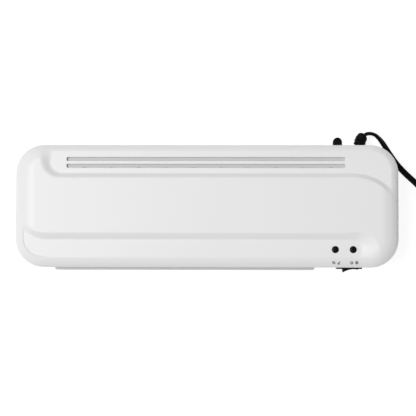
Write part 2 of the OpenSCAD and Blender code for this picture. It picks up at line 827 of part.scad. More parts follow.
// Compression spring as a swept wire, from z0 up to z1
module coil_spring(z0, z1, mid_r, wire_r, turns) {
    n = 14 * turns;
    sides = 6;
    polyhedron(
        points = [
            for (i = [0 : n], k = [0 : sides - 1])
                let (
                    a = 360 * i / 14,
                    z = z0 + wire_r + (z1 - z0 - 2 * wire_r) * i / n,
                    r = mid_r + wire_r * cos(k * 360 / sides)
                )
                [r * cos(a), r * sin(a), z + wire_r * sin(k * 360 / sides)]
        ],
        faces = [
            [for (k = [sides - 1 : -1 : 0]) k],
            for (i = [0 : n - 1], k = [0 : sides - 1])
                [i * sides + k, i * sides + (k + 1) % sides,
                    (i + 1) * sides + (k + 1) % sides, (i + 1) * sides + k],
            [for (k = [0 : sides - 1]) n * sides + k]
        ]
    );
}

module pressure_springs() {
    z0 = upper_axis_z + block_half[1] + 0.05;
    color(STEEL) placed() for (x = [right_frame_x, left_frame_x])
        translate([x + frame_t / 2, 0, 0]) coil_spring(z0, spring_top - 0.05, 2, 0.35, 4);
}

// ---------- drive ----------

module motor_bracket() {
    color(STEEL) placed() difference() {
        x_bar(bracket_x, bracket_x + bracket_t) polygon([
            [-30.5, 15], [-12, 13], [16, 26], [17, 34], [9, 37], [9, 50], [0, 54.5], [-30.5, 54.5]
        ]);
        x_rod(bracket_x - 1, bracket_x + 3, motor_y, motor_z, 5);
        for (p = standoff_places) x_rod(bracket_x - 1, bracket_x + 3, p[0], p[1], 1.25);
        for (p = motor_ears) x_rod(bracket_x - 1, bracket_x + 3, p[0], p[1], 1.3);
    }
}

module motor_standoffs() {
    color(STEEL) placed() for (p = standoff_places) {
        x_rod(right_frame_x + frame_t, bracket_x, p[0], p[1], 2.5);
        x_rod(right_frame_x, bracket_x + bracket_t, p[0], p[1], 1.25);
    }
}

module gear_motor() {
    color(STEEL) placed() difference() {
        union() {
            x_rod(motor_x, motor_x + motor_len, motor_y, motor_z, motor_r);
            x_rod(motor_x + motor_len, motor_x + motor_len + 2.5, motor_y, motor_z, 6);
            x_rod(motor_x - 0.8, motor_x, motor_y, motor_z, 4.9);
        }
        x_rod(motor_x - 5, motor_x + 6, motor_y, motor_z, 2.5 + running);
        for (p = motor_ears) x_rod(motor_x - 1, motor_x + 4, p[0], p[1], 1.3);
    }
}

module motor_shaft() {
    color(STEEL) placed() x_rod(pinion_x1 - pinion_w - 0.4, motor_x + 5.5, motor_y, motor_z, 2.5);
}

module motor_pinion() {
    color(WHITE) placed() x_gear(pinion_x1 - pinion_w, pinion_w, motor_y, motor_z, pinion_teeth,
        pinion_phase, 2.5);
}

module motor_screws() {
    color(STEEL) placed() for (p = motor_ears)
        translate([bracket_x, p[0], p[1]]) rotate([0, -90, 0]) screw(2.2, 1.4, 1.25, 4.2);
}

// ---------- heating ----------

// Trough round a roller, open towards the nip; up = 1 for the one over the upper roller
module heating_shoe(z, up) {
    difference() {
        span([inner_x0, -shoe_half, up > 0 ? z : z - shoe_h],
             [inner_x1, shoe_half, up > 0 ? z + shoe_h : z]);
        x_rod(inner_x0 - 1, inner_x1 + 1, 0, z, arch_r);
        for (p = up > 0 ? shoe_screw_upper : shoe_screw_lower, x = [inner_x0 - 1, inner_x1 - 8.2])
            x_rod(x, x + 9.2, p[0], p[1], 1.25);
        // relief for the bearings at both ends
        for (x = [inner_x0 - 1, inner_x1 - 2.2])
            span([x, -8, z - shoe_h - 1], [x + 3.2, 8, z + shoe_h + 1]);
    }
}

module upper_heating_shoe() {
    color(ALUMINIUM) placed() heating_shoe(upper_axis_z, 1);
}

module lower_heating_shoe() {
    color(ALUMINIUM) placed() heating_shoe(lower_axis_z, -1);
}

module heater_strips() {
    color([0.62, 0.5, 0.32]) placed() {
        span([heater_x0, -heater_w / 2, upper_axis_z + shoe_h],
             [heater_x1, heater_w / 2, upper_axis_z + shoe_h + heater_t]);
        span([heater_x0, -heater_w / 2, lower_axis_z - shoe_h - heater_t],
             [heater_x1, heater_w / 2, lower_axis_z - shoe_h]);
    }
}

module heater_clamps() {
    top = upper_axis_z + shoe_h + heater_t;
    bottom = lower_axis_z - shoe_h - heater_t;
    color(STEEL) placed() for (x = [-110 : 45 : 70]) {
        span([x - 5, -11, top], [x + 5, 11, top + clamp_t]);
        span([x - 5, -11, bottom - clamp_t], [x + 5, 11, bottom]);
        for (y = [-11, 10.2]) {
            span([x - 5, y, top - heater_t], [x + 5, y + 0.8, top + clamp_t]);
            span([x - 5, y, bottom - clamp_t], [x + 5, y + 0.8, bottom + heater_t]);
        }
    }
}

module thermostats() {
    z = 47.2;
    color(BLACK) placed() for (x = thermostat_xs) {
        y_rod(x, -shoe_half - 4, -shoe_half, z, 6.8);
        y_rod(x, -shoe_half - 7, -shoe_half - 4, z, 5.2);
        for (s = [-1, 1]) span([x + s * 3.2 - 1.5, -shoe_half - 12, z - 0.4],
                               [x + s * 3.2 + 1.5, -shoe_half - 7, z + 0.4]);
    }
}

module thermal_fuse() {
    color(WHITE) placed() {
        x_rod(-28, -14, -shoe_half - 2.4, 46, 2);
        for (x = [-25, -18.2]) difference() {
            span([x, -shoe_half - 5, 43.4], [x + 1.2, -shoe_half, 48.6]);
            x_rod(x - 1, x + 3, -shoe_half - 2.4, 46, 2);
        }
    }
}

// ---------- sheet guides ----------

// Thin folded guide between the side frames, from points on its middle line
module folded_guide(points, t) {
    x_bar(inner_x0, inner_x1) for (i = [0 : len(points) - 2]) {
        a = points[i];
        b = points[i + 1];
        n = [a[1] - b[1], b[0] - a[0]] / norm(b - a) * t / 2;
        polygon([a - n, b - n, b + n, a + n]);
        translate(b) circle(r = t / 2, $fn = 24);
    }
}

module front_lower_guide() {
    color(ALUMINIUM) placed() folded_guide([[-31, 24.5], [-31, 28.2], [-28, 29.2], [-8, 29.2]], 0.8);
}

module front_upper_guide() {
    color(ALUMINIUM) placed()
        folded_guide([[-31, 42], [-31, 37], [-22, 33.6], [-8.5, 32.6]], 0.8);
}

module rear_lower_guide() {
    color(ALUMINIUM) placed() folded_guide([[8, 29.2], [21, 29.2], [23, 28.2], [23, 23]], 0.8);
}

module rear_upper_guide() {
    color(ALUMINIUM) placed() folded_guide([[8.5, 32.6], [16, 33.4], [26, 36], [26, 40]], 0.8);
}

// ---------- release ----------

module release_rod() {
    color(STEEL) placed() {
        x_rod(finger_xs[1], lever_x + lever_w / 2 - 1, rod_y, rod_z, rod_r);
        for (x = finger_xs) {
            span([x, rod_y - finger_arm, rod_z - finger_r], [x + 1.2, rod_y, rod_z + finger_r]);
            x_rod(x, x + 1.2, rod_y - finger_arm, rod_z, finger_r);
            x_rod(x, x + 1.2, rod_y, rod_z, rod_r + 1.2);
        }
    }
}

module release_lever() {
    x0 = lever_x - lever_w / 2;
    end_y = lever_tip_y - lever_w / 2;
    color(BLACK) placed() difference() {
        union() {
            x_rod(x0, x0 + lever_w, rod_y, rod_z, 6);
            x_bar(x0, x0 + lever_w) polygon([
                [rod_y, rod_z - 5.5], [40, 40.5], [end_y, 38.2], [end_y, 44.8],
                [40, 47], [rod_y, rod_z + 5]
            ]);
            z_rod(lever_x, end_y, 38.2, 44.8, lever_w / 2);
        }
        x_rod(x0 - 1, lever_x + lever_w / 2 - 1, rod_y, rod_z, rod_r);
    }
}

// ---------- electrics ----------

module terminal_block() {
    color(WHITE) placed() difference() {
        span([151, 10, floor_z], [162, 28, floor_z + 11]);
        for (y = [14, 19, 24]) z_rod(156.5, y, floor_z + 7, floor_z + 12, 1.7);
    }
}

module inner_wiring() {
    feed = floor_z + 5;
    color([0.5, 0.15, 0.12]) placed() {
        // mains lead from the strain relief to the terminals
        wire([[gland_x, 50.5, gland_z], [146, 44, 16], [151, 36, feed + 2], [153.5, 27, feed]], 1.5);
        // terminals to the switch
        wire([[160, 11, feed], [163, 0, 12], [163, -22, 12], [152, -33, 15], [137.3, -36, 20.5]], 0.8);
        wire([[157, 11, feed], [160, -2, 10], [159, -20, 10], [146, -33, 10], [127.3, -36, 14.5]], 0.8);
        // switch to the board
        wire([[127.3, -36, 20.5], [124, -38.5, 27], [125, -41, 35], [127, -43, 41]], 0.8);
        // thermostats in line, then to the board
        wire([[thermostat_xs[0] + 3.2, -25, 47.2], [-50, -30.5, 47], [-28.6, -20, 46]], 0.8);
        wire([[-13.4, -15.4, 46], [0, -27, 47], [thermostat_xs[1] - 3.2, -25, 47.2]], 0.8);
        wire([[thermostat_xs[1] + 3.2, -25, 47.2], [40, -33, 47], [100, -36, 47],
            [112, -38, 45], [120, -42, 44]], 0.8);
        // motor lead
        wire([[motor_x + motor_len + 2, motor_y, motor_z + 3.5], [148, motor_y, 40],
            [153, 0, 24], [154, 11, feed + 3]], 0.8);
    }
}

// ---------- mains cord ----------

// Places children along the strain relief's middle line, u from 0 to 1, with +Z along it
module on_gland(u) {
    translate([gland_x, body_d / 2 + gland_neck, gland_z]) rotate([0, 180 + gland_roll, 0])
        translate([-gland_r, 0, 0]) rotate(u * gland_turn) translate([gland_r, 0, 0])
            rotate([-90, 0, 0]) children();
}

module cord_strain_relief() {
    y0 = body_d / 2;
    color(BLACK) placed() {
        y_rod(gland_x, y0 - wall_t - 1.8, y0 - wall_t - 0.05, gland_z, 6.6);
        y_rod(gland_x, y0 - wall_t - 0.1, y0 + 0.1, gland_z, 4.5);
        y_rod(gland_x, y0 + 0.05, y0 + gland_neck + 0.3, gland_z, rib_r);
        translate([gland_x, y0 + gland_neck, gland_z]) rotate([0, 180 + gland_roll, 0])
            translate([-gland_r, 0, 0]) rotate_extrude(angle = gland_turn, $fn = 64)
                translate([gland_r, 0]) circle(r = gland_core, $fn = 32);
        for (i = [1 : gland_ribs])
            on_gland(i / gland_ribs) translate([0, 0, -rib_t])
                cylinder(h = rib_t, r = rib_r - 0.15 * i, $fn = 48);
    }
}

module power_cord() {
    color(BLACK) placed() {
        flat_cord(finer(route), cord_w, cord_t);
        flat_cord(finer(tail), cord_w, cord_t);
    }
}

module cord_coil() {
    color(BLACK) placed() translate([coil_x, coil_y, 0]) rotate_extrude($fn = 96)
        translate([coil_r0, coil_z0]) square([coil_r1 - coil_r0, coil_z1 - coil_z0]);
}

module cord_tie() {
    y = coil_y - (coil_r0 + coil_r1) / 2;
    w = coil_r1 - coil_r0;
    color([0.9, 0.9, 0.9]) placed() difference() {
        span([coil_x - 3, y - w / 2 - 1, 0], [coil_x + 3, y + w / 2 + 1, coil_z1 + 0.8]);
        span([coil_x - 4, y - w / 2 - 0.3, coil_z0 - 0.1], [coil_x + 4, y + w / 2 + 0.3, coil_z1 + 0.1]);
    }
}

module plug_body() {
    half = plug_t / 2;
    color(BLACK) placed() translate(plug_at) {
        hull() {
            for (x = [-plug_w / 2 + 4, plug_w / 2 - 4], y = [16, plug_len - 3.6])
                translate([x, y, -half + 0.2]) cylinder(h = plug_t - 0.4, r = 3.4, $fn = 24);
            rotate([-90, 0, 0]) translate([0, 0, 6]) cylinder(h = 2, r = 5, $fn = 24);
        }
        span([-plug_w / 2, plug_len - 1.5, -half + 0.1], [plug_w / 2, plug_len, half - 0.1]);
        for (i = [0 : 2]) y_rod(0, i * 2.6, i * 2.6 + 1.4, 0, 4.6 + 0.2 * i);
        y_rod(0, 0.2, 8, 0, 4);
    }
}

module plug_blades() {
    color([0.85, 0.75, 0.45]) placed() for (s = [-1, 1])
        translate(plug_at + [s * blade_pitch / 2 - blade[2] / 2, plug_len, -blade[0] / 2]) difference() {
            cube([blade[2], blade[1], blade[0]]);
            translate([-1, blade[1] - 4.5, blade[0] / 2]) rotate([0, 90, 0])
                cylinder(h = 4, r = 1.6, $fn = 24);
        }
}

upper_casing();
lower_casing();
entry_tray();
exit_tray();
vent_baffle();
rubber_feet();
casing_screws();
switch_housing();
power_rocker();
switch_terminals();
lamp_lenses();
indicator_leds();
indicator_board();
board_components();
board_screws();
release_lever();
release_rod();
left_side_frame();
right_side_frame();
frame_tie_rods();
tie_rod_nuts();
frame_screws();
shoe_screws();
lower_roller_core();
lower_roller_sleeve();
lower_roller_gear();
lower_roller_clips();
lower_bushes();
upper_roller_core();
upper_roller_sleeve();
upper_roller_gear();
upper_roller_clips();
upper_bearing_blocks();
pressure_springs();
motor_bracket();
motor_standoffs();
gear_motor();
motor_shaft();
motor_pinion();
motor_screws();
upper_heating_shoe();
lower_heating_shoe();
heater_strips();
heater_clamps();
thermostats();
thermal_fuse();
front_lower_guide();
front_upper_guide();
rear_lower_guide();
rear_upper_guide();
terminal_block();
inner_wiring();
cord_strain_relief();
power_cord();
cord_coil();
cord_tie();
plug_body();
plug_blades();
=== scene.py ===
"""Pouch laminator: the visual model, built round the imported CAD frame.

Lengths are millimetres until a mesh is made.
"""

import json
import math

import bmesh
import bpy
import numpy as np
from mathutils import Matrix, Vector
from mathutils.geometry import delaunay_2d_cdt


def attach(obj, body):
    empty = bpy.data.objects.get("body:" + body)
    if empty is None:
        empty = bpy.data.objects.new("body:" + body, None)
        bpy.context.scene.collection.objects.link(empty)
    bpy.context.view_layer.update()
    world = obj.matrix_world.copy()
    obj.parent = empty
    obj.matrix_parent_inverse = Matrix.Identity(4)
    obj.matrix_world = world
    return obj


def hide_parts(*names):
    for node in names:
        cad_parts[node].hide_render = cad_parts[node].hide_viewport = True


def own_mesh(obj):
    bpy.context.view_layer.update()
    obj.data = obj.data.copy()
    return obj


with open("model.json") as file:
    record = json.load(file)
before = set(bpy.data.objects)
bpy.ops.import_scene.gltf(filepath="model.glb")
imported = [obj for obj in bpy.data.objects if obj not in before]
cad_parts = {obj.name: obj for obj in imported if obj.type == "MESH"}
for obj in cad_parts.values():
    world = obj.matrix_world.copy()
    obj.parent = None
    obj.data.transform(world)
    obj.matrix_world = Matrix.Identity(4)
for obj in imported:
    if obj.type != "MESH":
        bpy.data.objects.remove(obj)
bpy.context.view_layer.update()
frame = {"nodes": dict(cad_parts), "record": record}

MM = 0.001
BODY_Y = -1.55  # the casing's middle in the frame
HALF_W, HALF_D, CORNER_R = 175.0, 56.0, 26.0
TOP_Z, LOW_Z, EDGE_Z = 62.0, 58.5, 49.0  # raised field, channel and strip, top of the side walls
WALL = 2.4
RIM = 0.3  # rounding of the shells' open edges
LAMPS = [(116.7, -39.8), (132.9, -39.8)]
VENT_ROWS, VENT_MID, VENT_LENGTH, VENT_W = (36.2, 42.4), -0.9, 127.7 + 125.9, 3.5
SHEET_SLOT, LEVER_SLOT = (-142.2, 100.4), (115.1, 124.9)
FEET = [(x, y) for x in (-140, 140) for y in (-36, 36)]
BOSSES = [(-160, -36, 57), (160, -36, 60.3), (160, 36, 57), (-160, 36, 60.3)]
scene = bpy.context.scene


# ---------- camera, floor and light ----------

def make_camera():
    data = bpy.data.cameras.new("camera")
    data.lens, data.sensor_width = 118.1, 36
    data.clip_start, data.clip_end = 0.01, 20
    cam = bpy.data.objects.new("camera", data)
    cam.location = (0.0203, -0.05975, 1.2969)
    cam.rotation_euler = [math.radians(a) for a in (2.59, 0.88, 0.11)]
    scene.collection.objects.link(cam)
    scene.camera = cam


def area_light(name, where, towards, size, power, colour):
    data = bpy.data.lights.new(name, "AREA")
    data.shape, data.size, data.energy, data.color = "SQUARE", size, power, colour
    lamp = bpy.data.objects.new(name, data)
    lamp.location = where
    lamp.rotation_euler = (Vector(towards) - Vector(where)).to_track_quat("-Z", "Y").to_euler()
    lamp.visible_camera = False
    scene.collection.objects.link(lamp)


def make_studio():
    world = bpy.data.worlds.new("studio")
    scene.world = world
    world.use_nodes = True
    sky = world.node_tree.nodes["Background"]
    sky.inputs["Color"].default_value = (1, 1, 1, 1)
    sky.inputs["Strength"].default_value = 0.36
    area_light("key", (-1.35, 0.1, 3.4), (0, 0, 0), 1.5, 96, (1, 1, 1))
    scene.view_settings.view_transform = "Standard"

    n, reach = 24, 4
    xs = np.linspace(-reach, reach, n)
    verts = [(x, y, 0.0) for y in xs for x in xs]
    faces = [(j * n + i, j * n + i + 1, (j + 1) * n + i + 1, (j + 1) * n + i)
             for j in range(n - 1) for i in range(n - 1)]
    mesh = bpy.data.meshes.new("floor")
    mesh.from_pydata(verts, [], faces)
    floor = bpy.data.objects.new("floor", mesh)
    scene.collection.objects.link(floor)
    mat = bpy.data.materials.new("floor")
    mat.use_nodes = True
    shader = mat.node_tree.nodes["Principled BSDF"]
    shader.inputs["Base Color"].default_value = (0.25, 0.25, 0.25, 1)
    shader.inputs["Roughness"].default_value = 0.9
    shader.inputs["Emission Color"].default_value = (1, 1, 1, 1)
    shader.inputs["Emission Strength"].default_value = 0.84
    mesh.materials.append(mat)


# ---------- materials ----------

def tree_of(name):
    mat = bpy.data.materials.new(name)
    mat.use_nodes = True
    tree = mat.node_tree
    return mat, tree, tree.nodes["Principled BSDF"]


def node(tree, kind, **inputs):
    made = tree.nodes.new(kind)
    for key, value in inputs.items():
        made.inputs[key.replace("_", " ")].default_value = value
    return made


def set_ramp(ramp, *stops):
    for element, (position, colour) in zip(ramp.color_ramp.elements, stops):
        element.position, element.color = position, colour


def surface(name, colour, rough, metallic=0.0, vary=0.03, blotch=18.0, rough_vary=0.05,
            grain=2500.0, relief=0.02, stretch=(1, 1, 1), coat=0.0, specular=0.5, speckle=None):
    """Node material: a broad change of tone, roughness that drifts, and a fine moulded or rolled grain."""
    mat, tree, shader = tree_of(name)
    link = tree.links.new
    shader.inputs["Metallic"].default_value = metallic
    shader.inputs["Coat Weight"].default_value = coat
    shader.inputs["Coat Roughness"].default_value = 0.12
    shader.inputs["Specular IOR Level"].default_value = specular
    place = tree.nodes.new("ShaderNodeTexCoord")
    broad = node(tree, "ShaderNodeTexNoise", Scale=blotch, Detail=4.0, Roughness=0.55)
    link(place.outputs["Object"], broad.inputs["Vector"])
    tone = tree.nodes.new("ShaderNodeValToRGB")
    low = [c * (1 - vary) for c in colour]
    high = [min(1.0, c * (1 + vary)) for c in colour]
    set_ramp(tone, (0.3, (*low, 1)), (0.7, (*high, 1)))
    link(broad.outputs["Fac"], tone.inputs["Fac"])
    last = tone.outputs["Color"]
    if speckle:
        amount, scale, dark = speckle
        dots = node(tree, "ShaderNodeTexVoronoi", Scale=scale)
        link(place.outputs["Object"], dots.inputs["Vector"])
        mask = tree.nodes.new("ShaderNodeValToRGB")
        set_ramp(mask, (0.05, (amount,) * 3 + (1,)), (0.3, (0, 0, 0, 1)))
        link(dots.outputs["Distance"], mask.inputs["Fac"])
        mix = tree.nodes.new("ShaderNodeMix")
        mix.data_type = "RGBA"
        link(mask.outputs["Color"], mix.inputs["Factor"])
        link(last, mix.inputs["A"])
        mix.inputs["B"].default_value = (*dark, 1)
        last = mix.outputs["Result"]
    link(last, shader.inputs["Base Color"])
    drift = node(tree, "ShaderNodeMapRange", To_Min=max(0.03, rough - rough_vary),
                 To_Max=rough + rough_vary)
    link(broad.outputs["Fac"], drift.inputs["Value"])
    link(drift.outputs["Result"], shader.inputs["Roughness"])
    lay = tree.nodes.new("ShaderNodeMapping")
    lay.inputs["Scale"].default_value = stretch
    link(place.outputs["Object"], lay.inputs["Vector"])
    fine = node(tree, "ShaderNodeTexNoise", Scale=grain, Detail=3.0, Roughness=0.6)
    link(lay.outputs["Vector"], fine.inputs["Vector"])
    bump = node(tree, "ShaderNodeBump", Strength=1.0, Distance=relief * MM)
    link(fine.outputs["Fac"], bump.inputs["Height"])
    link(bump.outputs["Normal"], shader.inputs["Normal"])
    return mat


def make_materials():
    s = surface
    return {
        "white_shell": s("white_abs", (0.76, 0.76, 0.763), 0.4, vary=0.006, blotch=9, grain=3400,
                         relief=0.006, specular=0.3),
        # grey_tray: the trays are white plastic; this grey is painted shade for the shade under the lid's
        # overhang
        "grey_tray": s("tray_abs_painted_shade", (0.72, 0.72, 0.73), 0.45, vary=0.02, grain=3000, relief=0.012),
        "black_plastic": s("black_abs", (0.0035, 0.0035, 0.004), 0.42, vary=0.15, grain=2600, relief=0.012,
                           specular=0.07),
        "lamp": s("smoked_lens", (0.004, 0.004, 0.0045), 0.25, vary=0.2, blotch=300, relief=0.0015,
                  specular=0.09),
        "led": s("clear_led", (0.5, 0.62, 0.5), 0.12, vary=0.05, coat=0.6, relief=0.002),
        "baffle": s("baffle_plastic", (0.54, 0.54, 0.54), 0.6, vary=0.02, relief=0.02, specular=0.3),
        "rubber_foot": s("foot_rubber", (0.02, 0.02, 0.02), 0.75, vary=0.25, blotch=120, grain=4000,
                         relief=0.04),
        "zinc_steel": s("zinc_plate", (0.56, 0.58, 0.60), 0.33, 1.0, vary=0.08, blotch=160, rough_vary=0.1,
                        grain=900, relief=0.012),
        "bright_steel": s("ground_steel", (0.6, 0.6, 0.61), 0.2, 1.0, vary=0.03, rough_vary=0.05, grain=2200,
                          relief=0.01, stretch=(1, 0.02, 0.02)),
        "spring_steel": s("spring_wire", (0.4, 0.39, 0.38), 0.3, 1.0, vary=0.1, blotch=200, relief=0.01),
        "silicone": s("silicone_rubber", (0.42, 0.09, 0.045), 0.48, vary=0.06, blotch=30, grain=3500,
                      relief=0.015, specular=0.35),
        "gear_plastic": s("acetal", (0.78, 0.76, 0.68), 0.4, vary=0.04, relief=0.012),
        "bronze": s("sintered_bronze", (0.52, 0.33, 0.12), 0.42, 1.0, vary=0.15, blotch=900, grain=5000,
                    relief=0.03),
        "bearing_plastic": s("bearing_resin", (0.05, 0.042, 0.035), 0.5, vary=0.15, relief=0.02),
        "extruded_aluminium": s("extruded_alu", (0.6, 0.61, 0.62), 0.36, 1.0, vary=0.05, rough_vary=0.08,
                                grain=1500, relief=0.02, stretch=(0.02, 1, 1)),
        "sheet_aluminium": s("rolled_alu", (0.65, 0.655, 0.66), 0.3, 1.0, vary=0.05, rough_vary=0.08,
                             grain=1800, relief=0.012, stretch=(0.03, 1, 1)),
        "mica": s("mica_board", (0.3, 0.2, 0.1), 0.5, vary=0.3, blotch=160, grain=800, relief=0.03,
                  speckle=(0.5, 700, (0.5, 0.4, 0.26))),
        "bakelite": s("bakelite", (0.022, 0.016, 0.014), 0.3, vary=0.2, relief=0.01, coat=0.2),
        "ceramic": s("ceramic", (0.75, 0.73, 0.68), 0.55, vary=0.05, relief=0.02),
        "circuit_board": s("solder_mask", (0.012, 0.1, 0.035), 0.28, vary=0.2, blotch=240, grain=900,
                           relief=0.02, coat=0.4),
        "components": s("component_resin", (0.018, 0.018, 0.02), 0.45, vary=0.3, relief=0.02),
        "wire_cover": s("wire_silicone", (0.3, 0.02, 0.012), 0.5, vary=0.1, relief=0.015),
        "terminal_plastic": s("terminal_nylon", (0.74, 0.74, 0.7), 0.45, vary=0.04, relief=0.02),
        "terminal_metal": s("tinned_brass", (0.62, 0.59, 0.5), 0.3, 1.0, vary=0.08, blotch=300, relief=0.01),
        "cord_cover": s("cord_pvc", (0.003, 0.003, 0.0033), 0.42, vary=0.2, blotch=60, grain=2200,
                        relief=0.02, specular=0.06),
        "tie": s("tie_nylon", (0.62, 0.62, 0.6), 0.65, vary=0.05, grain=1800, relief=0.15),
        "plug_brass": s("plug_brass", (0.68, 0.52, 0.24), 0.22, 1.0, vary=0.06, blotch=120, relief=0.008),
        "ink": s("grey_ink", (0.05, 0.05, 0.055), 0.6, vary=0.1, blotch=900, relief=0.004),
        "mark_white": s("white_ink", (0.7, 0.7, 0.7), 0.5, vary=0.05, relief=0.004),
    }


# ---------- mesh helpers ----------

def build(name, solid, body, slot, replaces=(), sharp=38.0, material=None, even=True, closed=True):
    """A finished piece from a Solid in millimetres about the casing's middle."""
    points = np.array(solid.verts, float)
    points[:, 1] += BODY_Y
    mesh = bpy.data.meshes.new(name)
    mesh.from_pydata((points * MM).tolist(), [], [list(f) for f in solid.faces])
    mesh.validate()
    if closed:
        shape = bmesh.new()
        shape.from_mesh(mesh)
        bmesh.ops.recalc_face_normals(shape, faces=shape.faces)
        shape.to_mesh(mesh)
        shape.free()
    mesh.polygons.foreach_set("use_smooth", [True] * len(mesh.polygons))
    mesh.set_sharp_from_angle(angle=math.radians(sharp))
    piece = bpy.data.objects.new(name, mesh)
    scene.collection.objects.link(piece)
    mesh.materials.append(MATERIALS[material or slot])
    if even:
        piece.modifiers.new("even_shading", "WEIGHTED_NORMAL").keep_sharp = True
    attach(piece, body)
    if replaces:
        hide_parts(*replaces)
    return piece


class Solid:
    """Collects closed forms into one mesh."""

    def __init__(self):
        self.verts, self.faces = [], []

    def add(self, verts, faces):
        base = len(self.verts)
        self.verts += [tuple(v) for v in verts]
        self.faces += [tuple(base + i for i in f) for f in faces]

    def loft(self, rings, closed=False):
        """Skins rings of equal length; the ends are capped unless the rings close on each other."""
        n = len(rings[0])
        faces = []
        for i in range(len(rings) if closed else len(rings) - 1):
            a, b = i * n, (i + 1) % len(rings) * n
            faces += [(a + k, a + (k + 1) % n, b + (k + 1) % n, b + k) for k in range(n)]
        if not closed:
            faces += [tuple(range(n - 1, -1, -1)), tuple((len(rings) - 1) * n + k for k in range(n))]
        self.add([p for r in rings for p in r], faces)

    def lathe(self, profile, centre, axis="z", sides=48):
        """Turns (radius, height) pairs about an axis through centre; radii of 0 at the ends close it."""
        rings = []
        for r, h in profile:
            ring = []
            for k in range(sides):
                a = 2 * math.pi * k / sides
                c, s = max(r, 1e-3) * math.cos(a), max(r, 1e-3) * math.sin(a)
                ring.append({"z": (c, s, h), "y": (s, h, c), "x": (h, c, s)}[axis])
            rings.append([tuple(np.add(p, centre)) for p in ring])
        self.loft(rings)

    def slab(self, outline, low, high, edge, lift=lambda p, z: (p[0], p[1], z), steps=4):
        """A plate from a counter-clockwise outline, with its rims rounded by edge."""
        p = np.array(outline, float)
        before, after = p - np.roll(p, 1, 0), np.roll(p, -1, 0) - p
        before /= np.linalg.norm(before, axis=1)[:, None]
        after /= np.linalg.norm(after, axis=1)[:, None]
        normal = np.stack([-before[:, 1], before[:, 0]], 1)
        inward = normal + np.stack([-after[:, 1], after[:, 0]], 1)
        inward /= np.maximum(np.einsum("ij,ij->i", inward, normal), 0.35)[:, None]
        # from the inset bottom face to the full outline, then up to the inset top face
        turns = [math.pi / 2 * i / steps for i in range(steps + 1)]
        low_rings = [[lift(q, low + edge * (1 - math.cos(a)))
                      for q in p + inward * edge * (1 - math.sin(a))] for a in turns]
        high_rings = [[lift(q, high - edge * (1 - math.sin(a)))
                       for q in p + inward * edge * (1 - math.cos(a))] for a in turns]
        self.loft(low_rings + high_rings)


def arc(cx, cy, r, a0, a1, n):
    return [(cx + r * math.cos(math.radians(a0 + (a1 - a0) * i / n)),
             cy + r * math.sin(math.radians(a0 + (a1 - a0) * i / n))) for i in range(n + 1)]


def rounded_rect(w, h, r, n=6, cx=0.0, cy=0.0):
    x, y = w / 2 - r, h / 2 - r
    return (arc(cx + x, cy + y, r, 0, 90, n) + arc(cx - x, cy + y, r, 90, 180, n)
            + arc(cx - x, cy - y, r, 180, 270, n) + arc(cx + x, cy - y, r, 270, 360, n))


# ---------- the cord ----------

CORD_W, CORD_T = 5.8, 3.3
ROUTE = [
    (143.95, 64.4, 18.3, 90), (145.4, 66.2, 16.5, 90), (147.4, 68.3, 14.5, 90),
    (150.5, 70, 12, 90), (154.6, 70.4, 9.5, 85), (158.9, 69, 7.3, 75), (162.9, 65.6, 5.6, 58),
    (166.8, 60.6, 4.5, 42), (170.4, 54.8, 3.7, 30), (174.6, 48.6, 3, 18), (179, 42.5, 2.5, 8),
    (184.8, 36, 2, 2), (191.2, 29.8, 1.8, 0),
    (197.6, 23.8, 1.9, 10), (203, 17, 2.8, 45), (206.6, 9, 3.6, 80), (208, 0, 3.8, 90),
]
COIL_AT, COIL_TURNS = (245.5, 0.0), 5.5
TAIL = [(280.2, 0, 9.6, 90), (281, 8, 9.2, 90), (281.6, 15, 8.4, 90), (282, 22, 7.8, 90), (282, 28, 7.6, 90)]
PLUG_AT = (282.0, 26.0, 7.6)
# the strain relief: where it leaves the wall, its bend, its straight neck, its core and its ribs
GLAND_X, GLAND_Z, GLAND_R, GLAND_TURN, GLAND_ROLL, NECK = 142.5, 20.0, 9.0, 60.0, 50.0, 2.4
GLAND_CORE, RIB_R, RIBS = 4.7, 5.8, 4


def smooth_route(points, steps):
    """Catmull-Rom curve through points of any width."""
    p = np.array(points, float)
    p = np.vstack([2 * p[0] - p[1], p, 2 * p[-1] - p[-2]])
    out = []
    for i in range(1, len(p) - 2):
        for k in range(steps):
            u = k / steps
            out.append(0.5 * (2 * p[i] + (p[i + 1] - p[i - 1]) * u
                              + (2 * p[i - 1] - 5 * p[i] + 4 * p[i + 1] - p[i + 2]) * u * u
                              + (3 * p[i] - p[i - 1] - 3 * p[i + 1] + p[i + 2]) * u ** 3))
    out.append(p[-2])
    return np.array(out)


def coil_line():
    """Wound in two layers: inwards below, then outwards on top."""
    per_turn, down, rise = 72, 3.1, 0.35  # turns in the lower layer, and on the way up
    outer_r, inner_r, top_r, pitch = 37.5, 26.96, 34.7, 3.4
    low_z, high_z, lift = 3.75, 9.65, 5.9
    rows = []
    for i in range(1, int(COIL_TURNS * per_turn)):
        t = i / per_turn
        if t < down:
            r, z = outer_r - pitch * t, low_z
        elif t < down + rise:
            u = (t - down) / rise
            r, z = inner_r - 0.2 * math.sin(math.pi * u), low_z + lift * u * u * (3 - 2 * u)
        else:
            r, z = inner_r + (top_r - inner_r) * (t - down - rise) / (COIL_TURNS - down - rise), high_z
        a = math.pi + 2 * math.pi * t
        rows.append((COIL_AT[0] + r * math.cos(a), COIL_AT[1] + r * math.sin(a), z, 90))
    return np.array(rows)


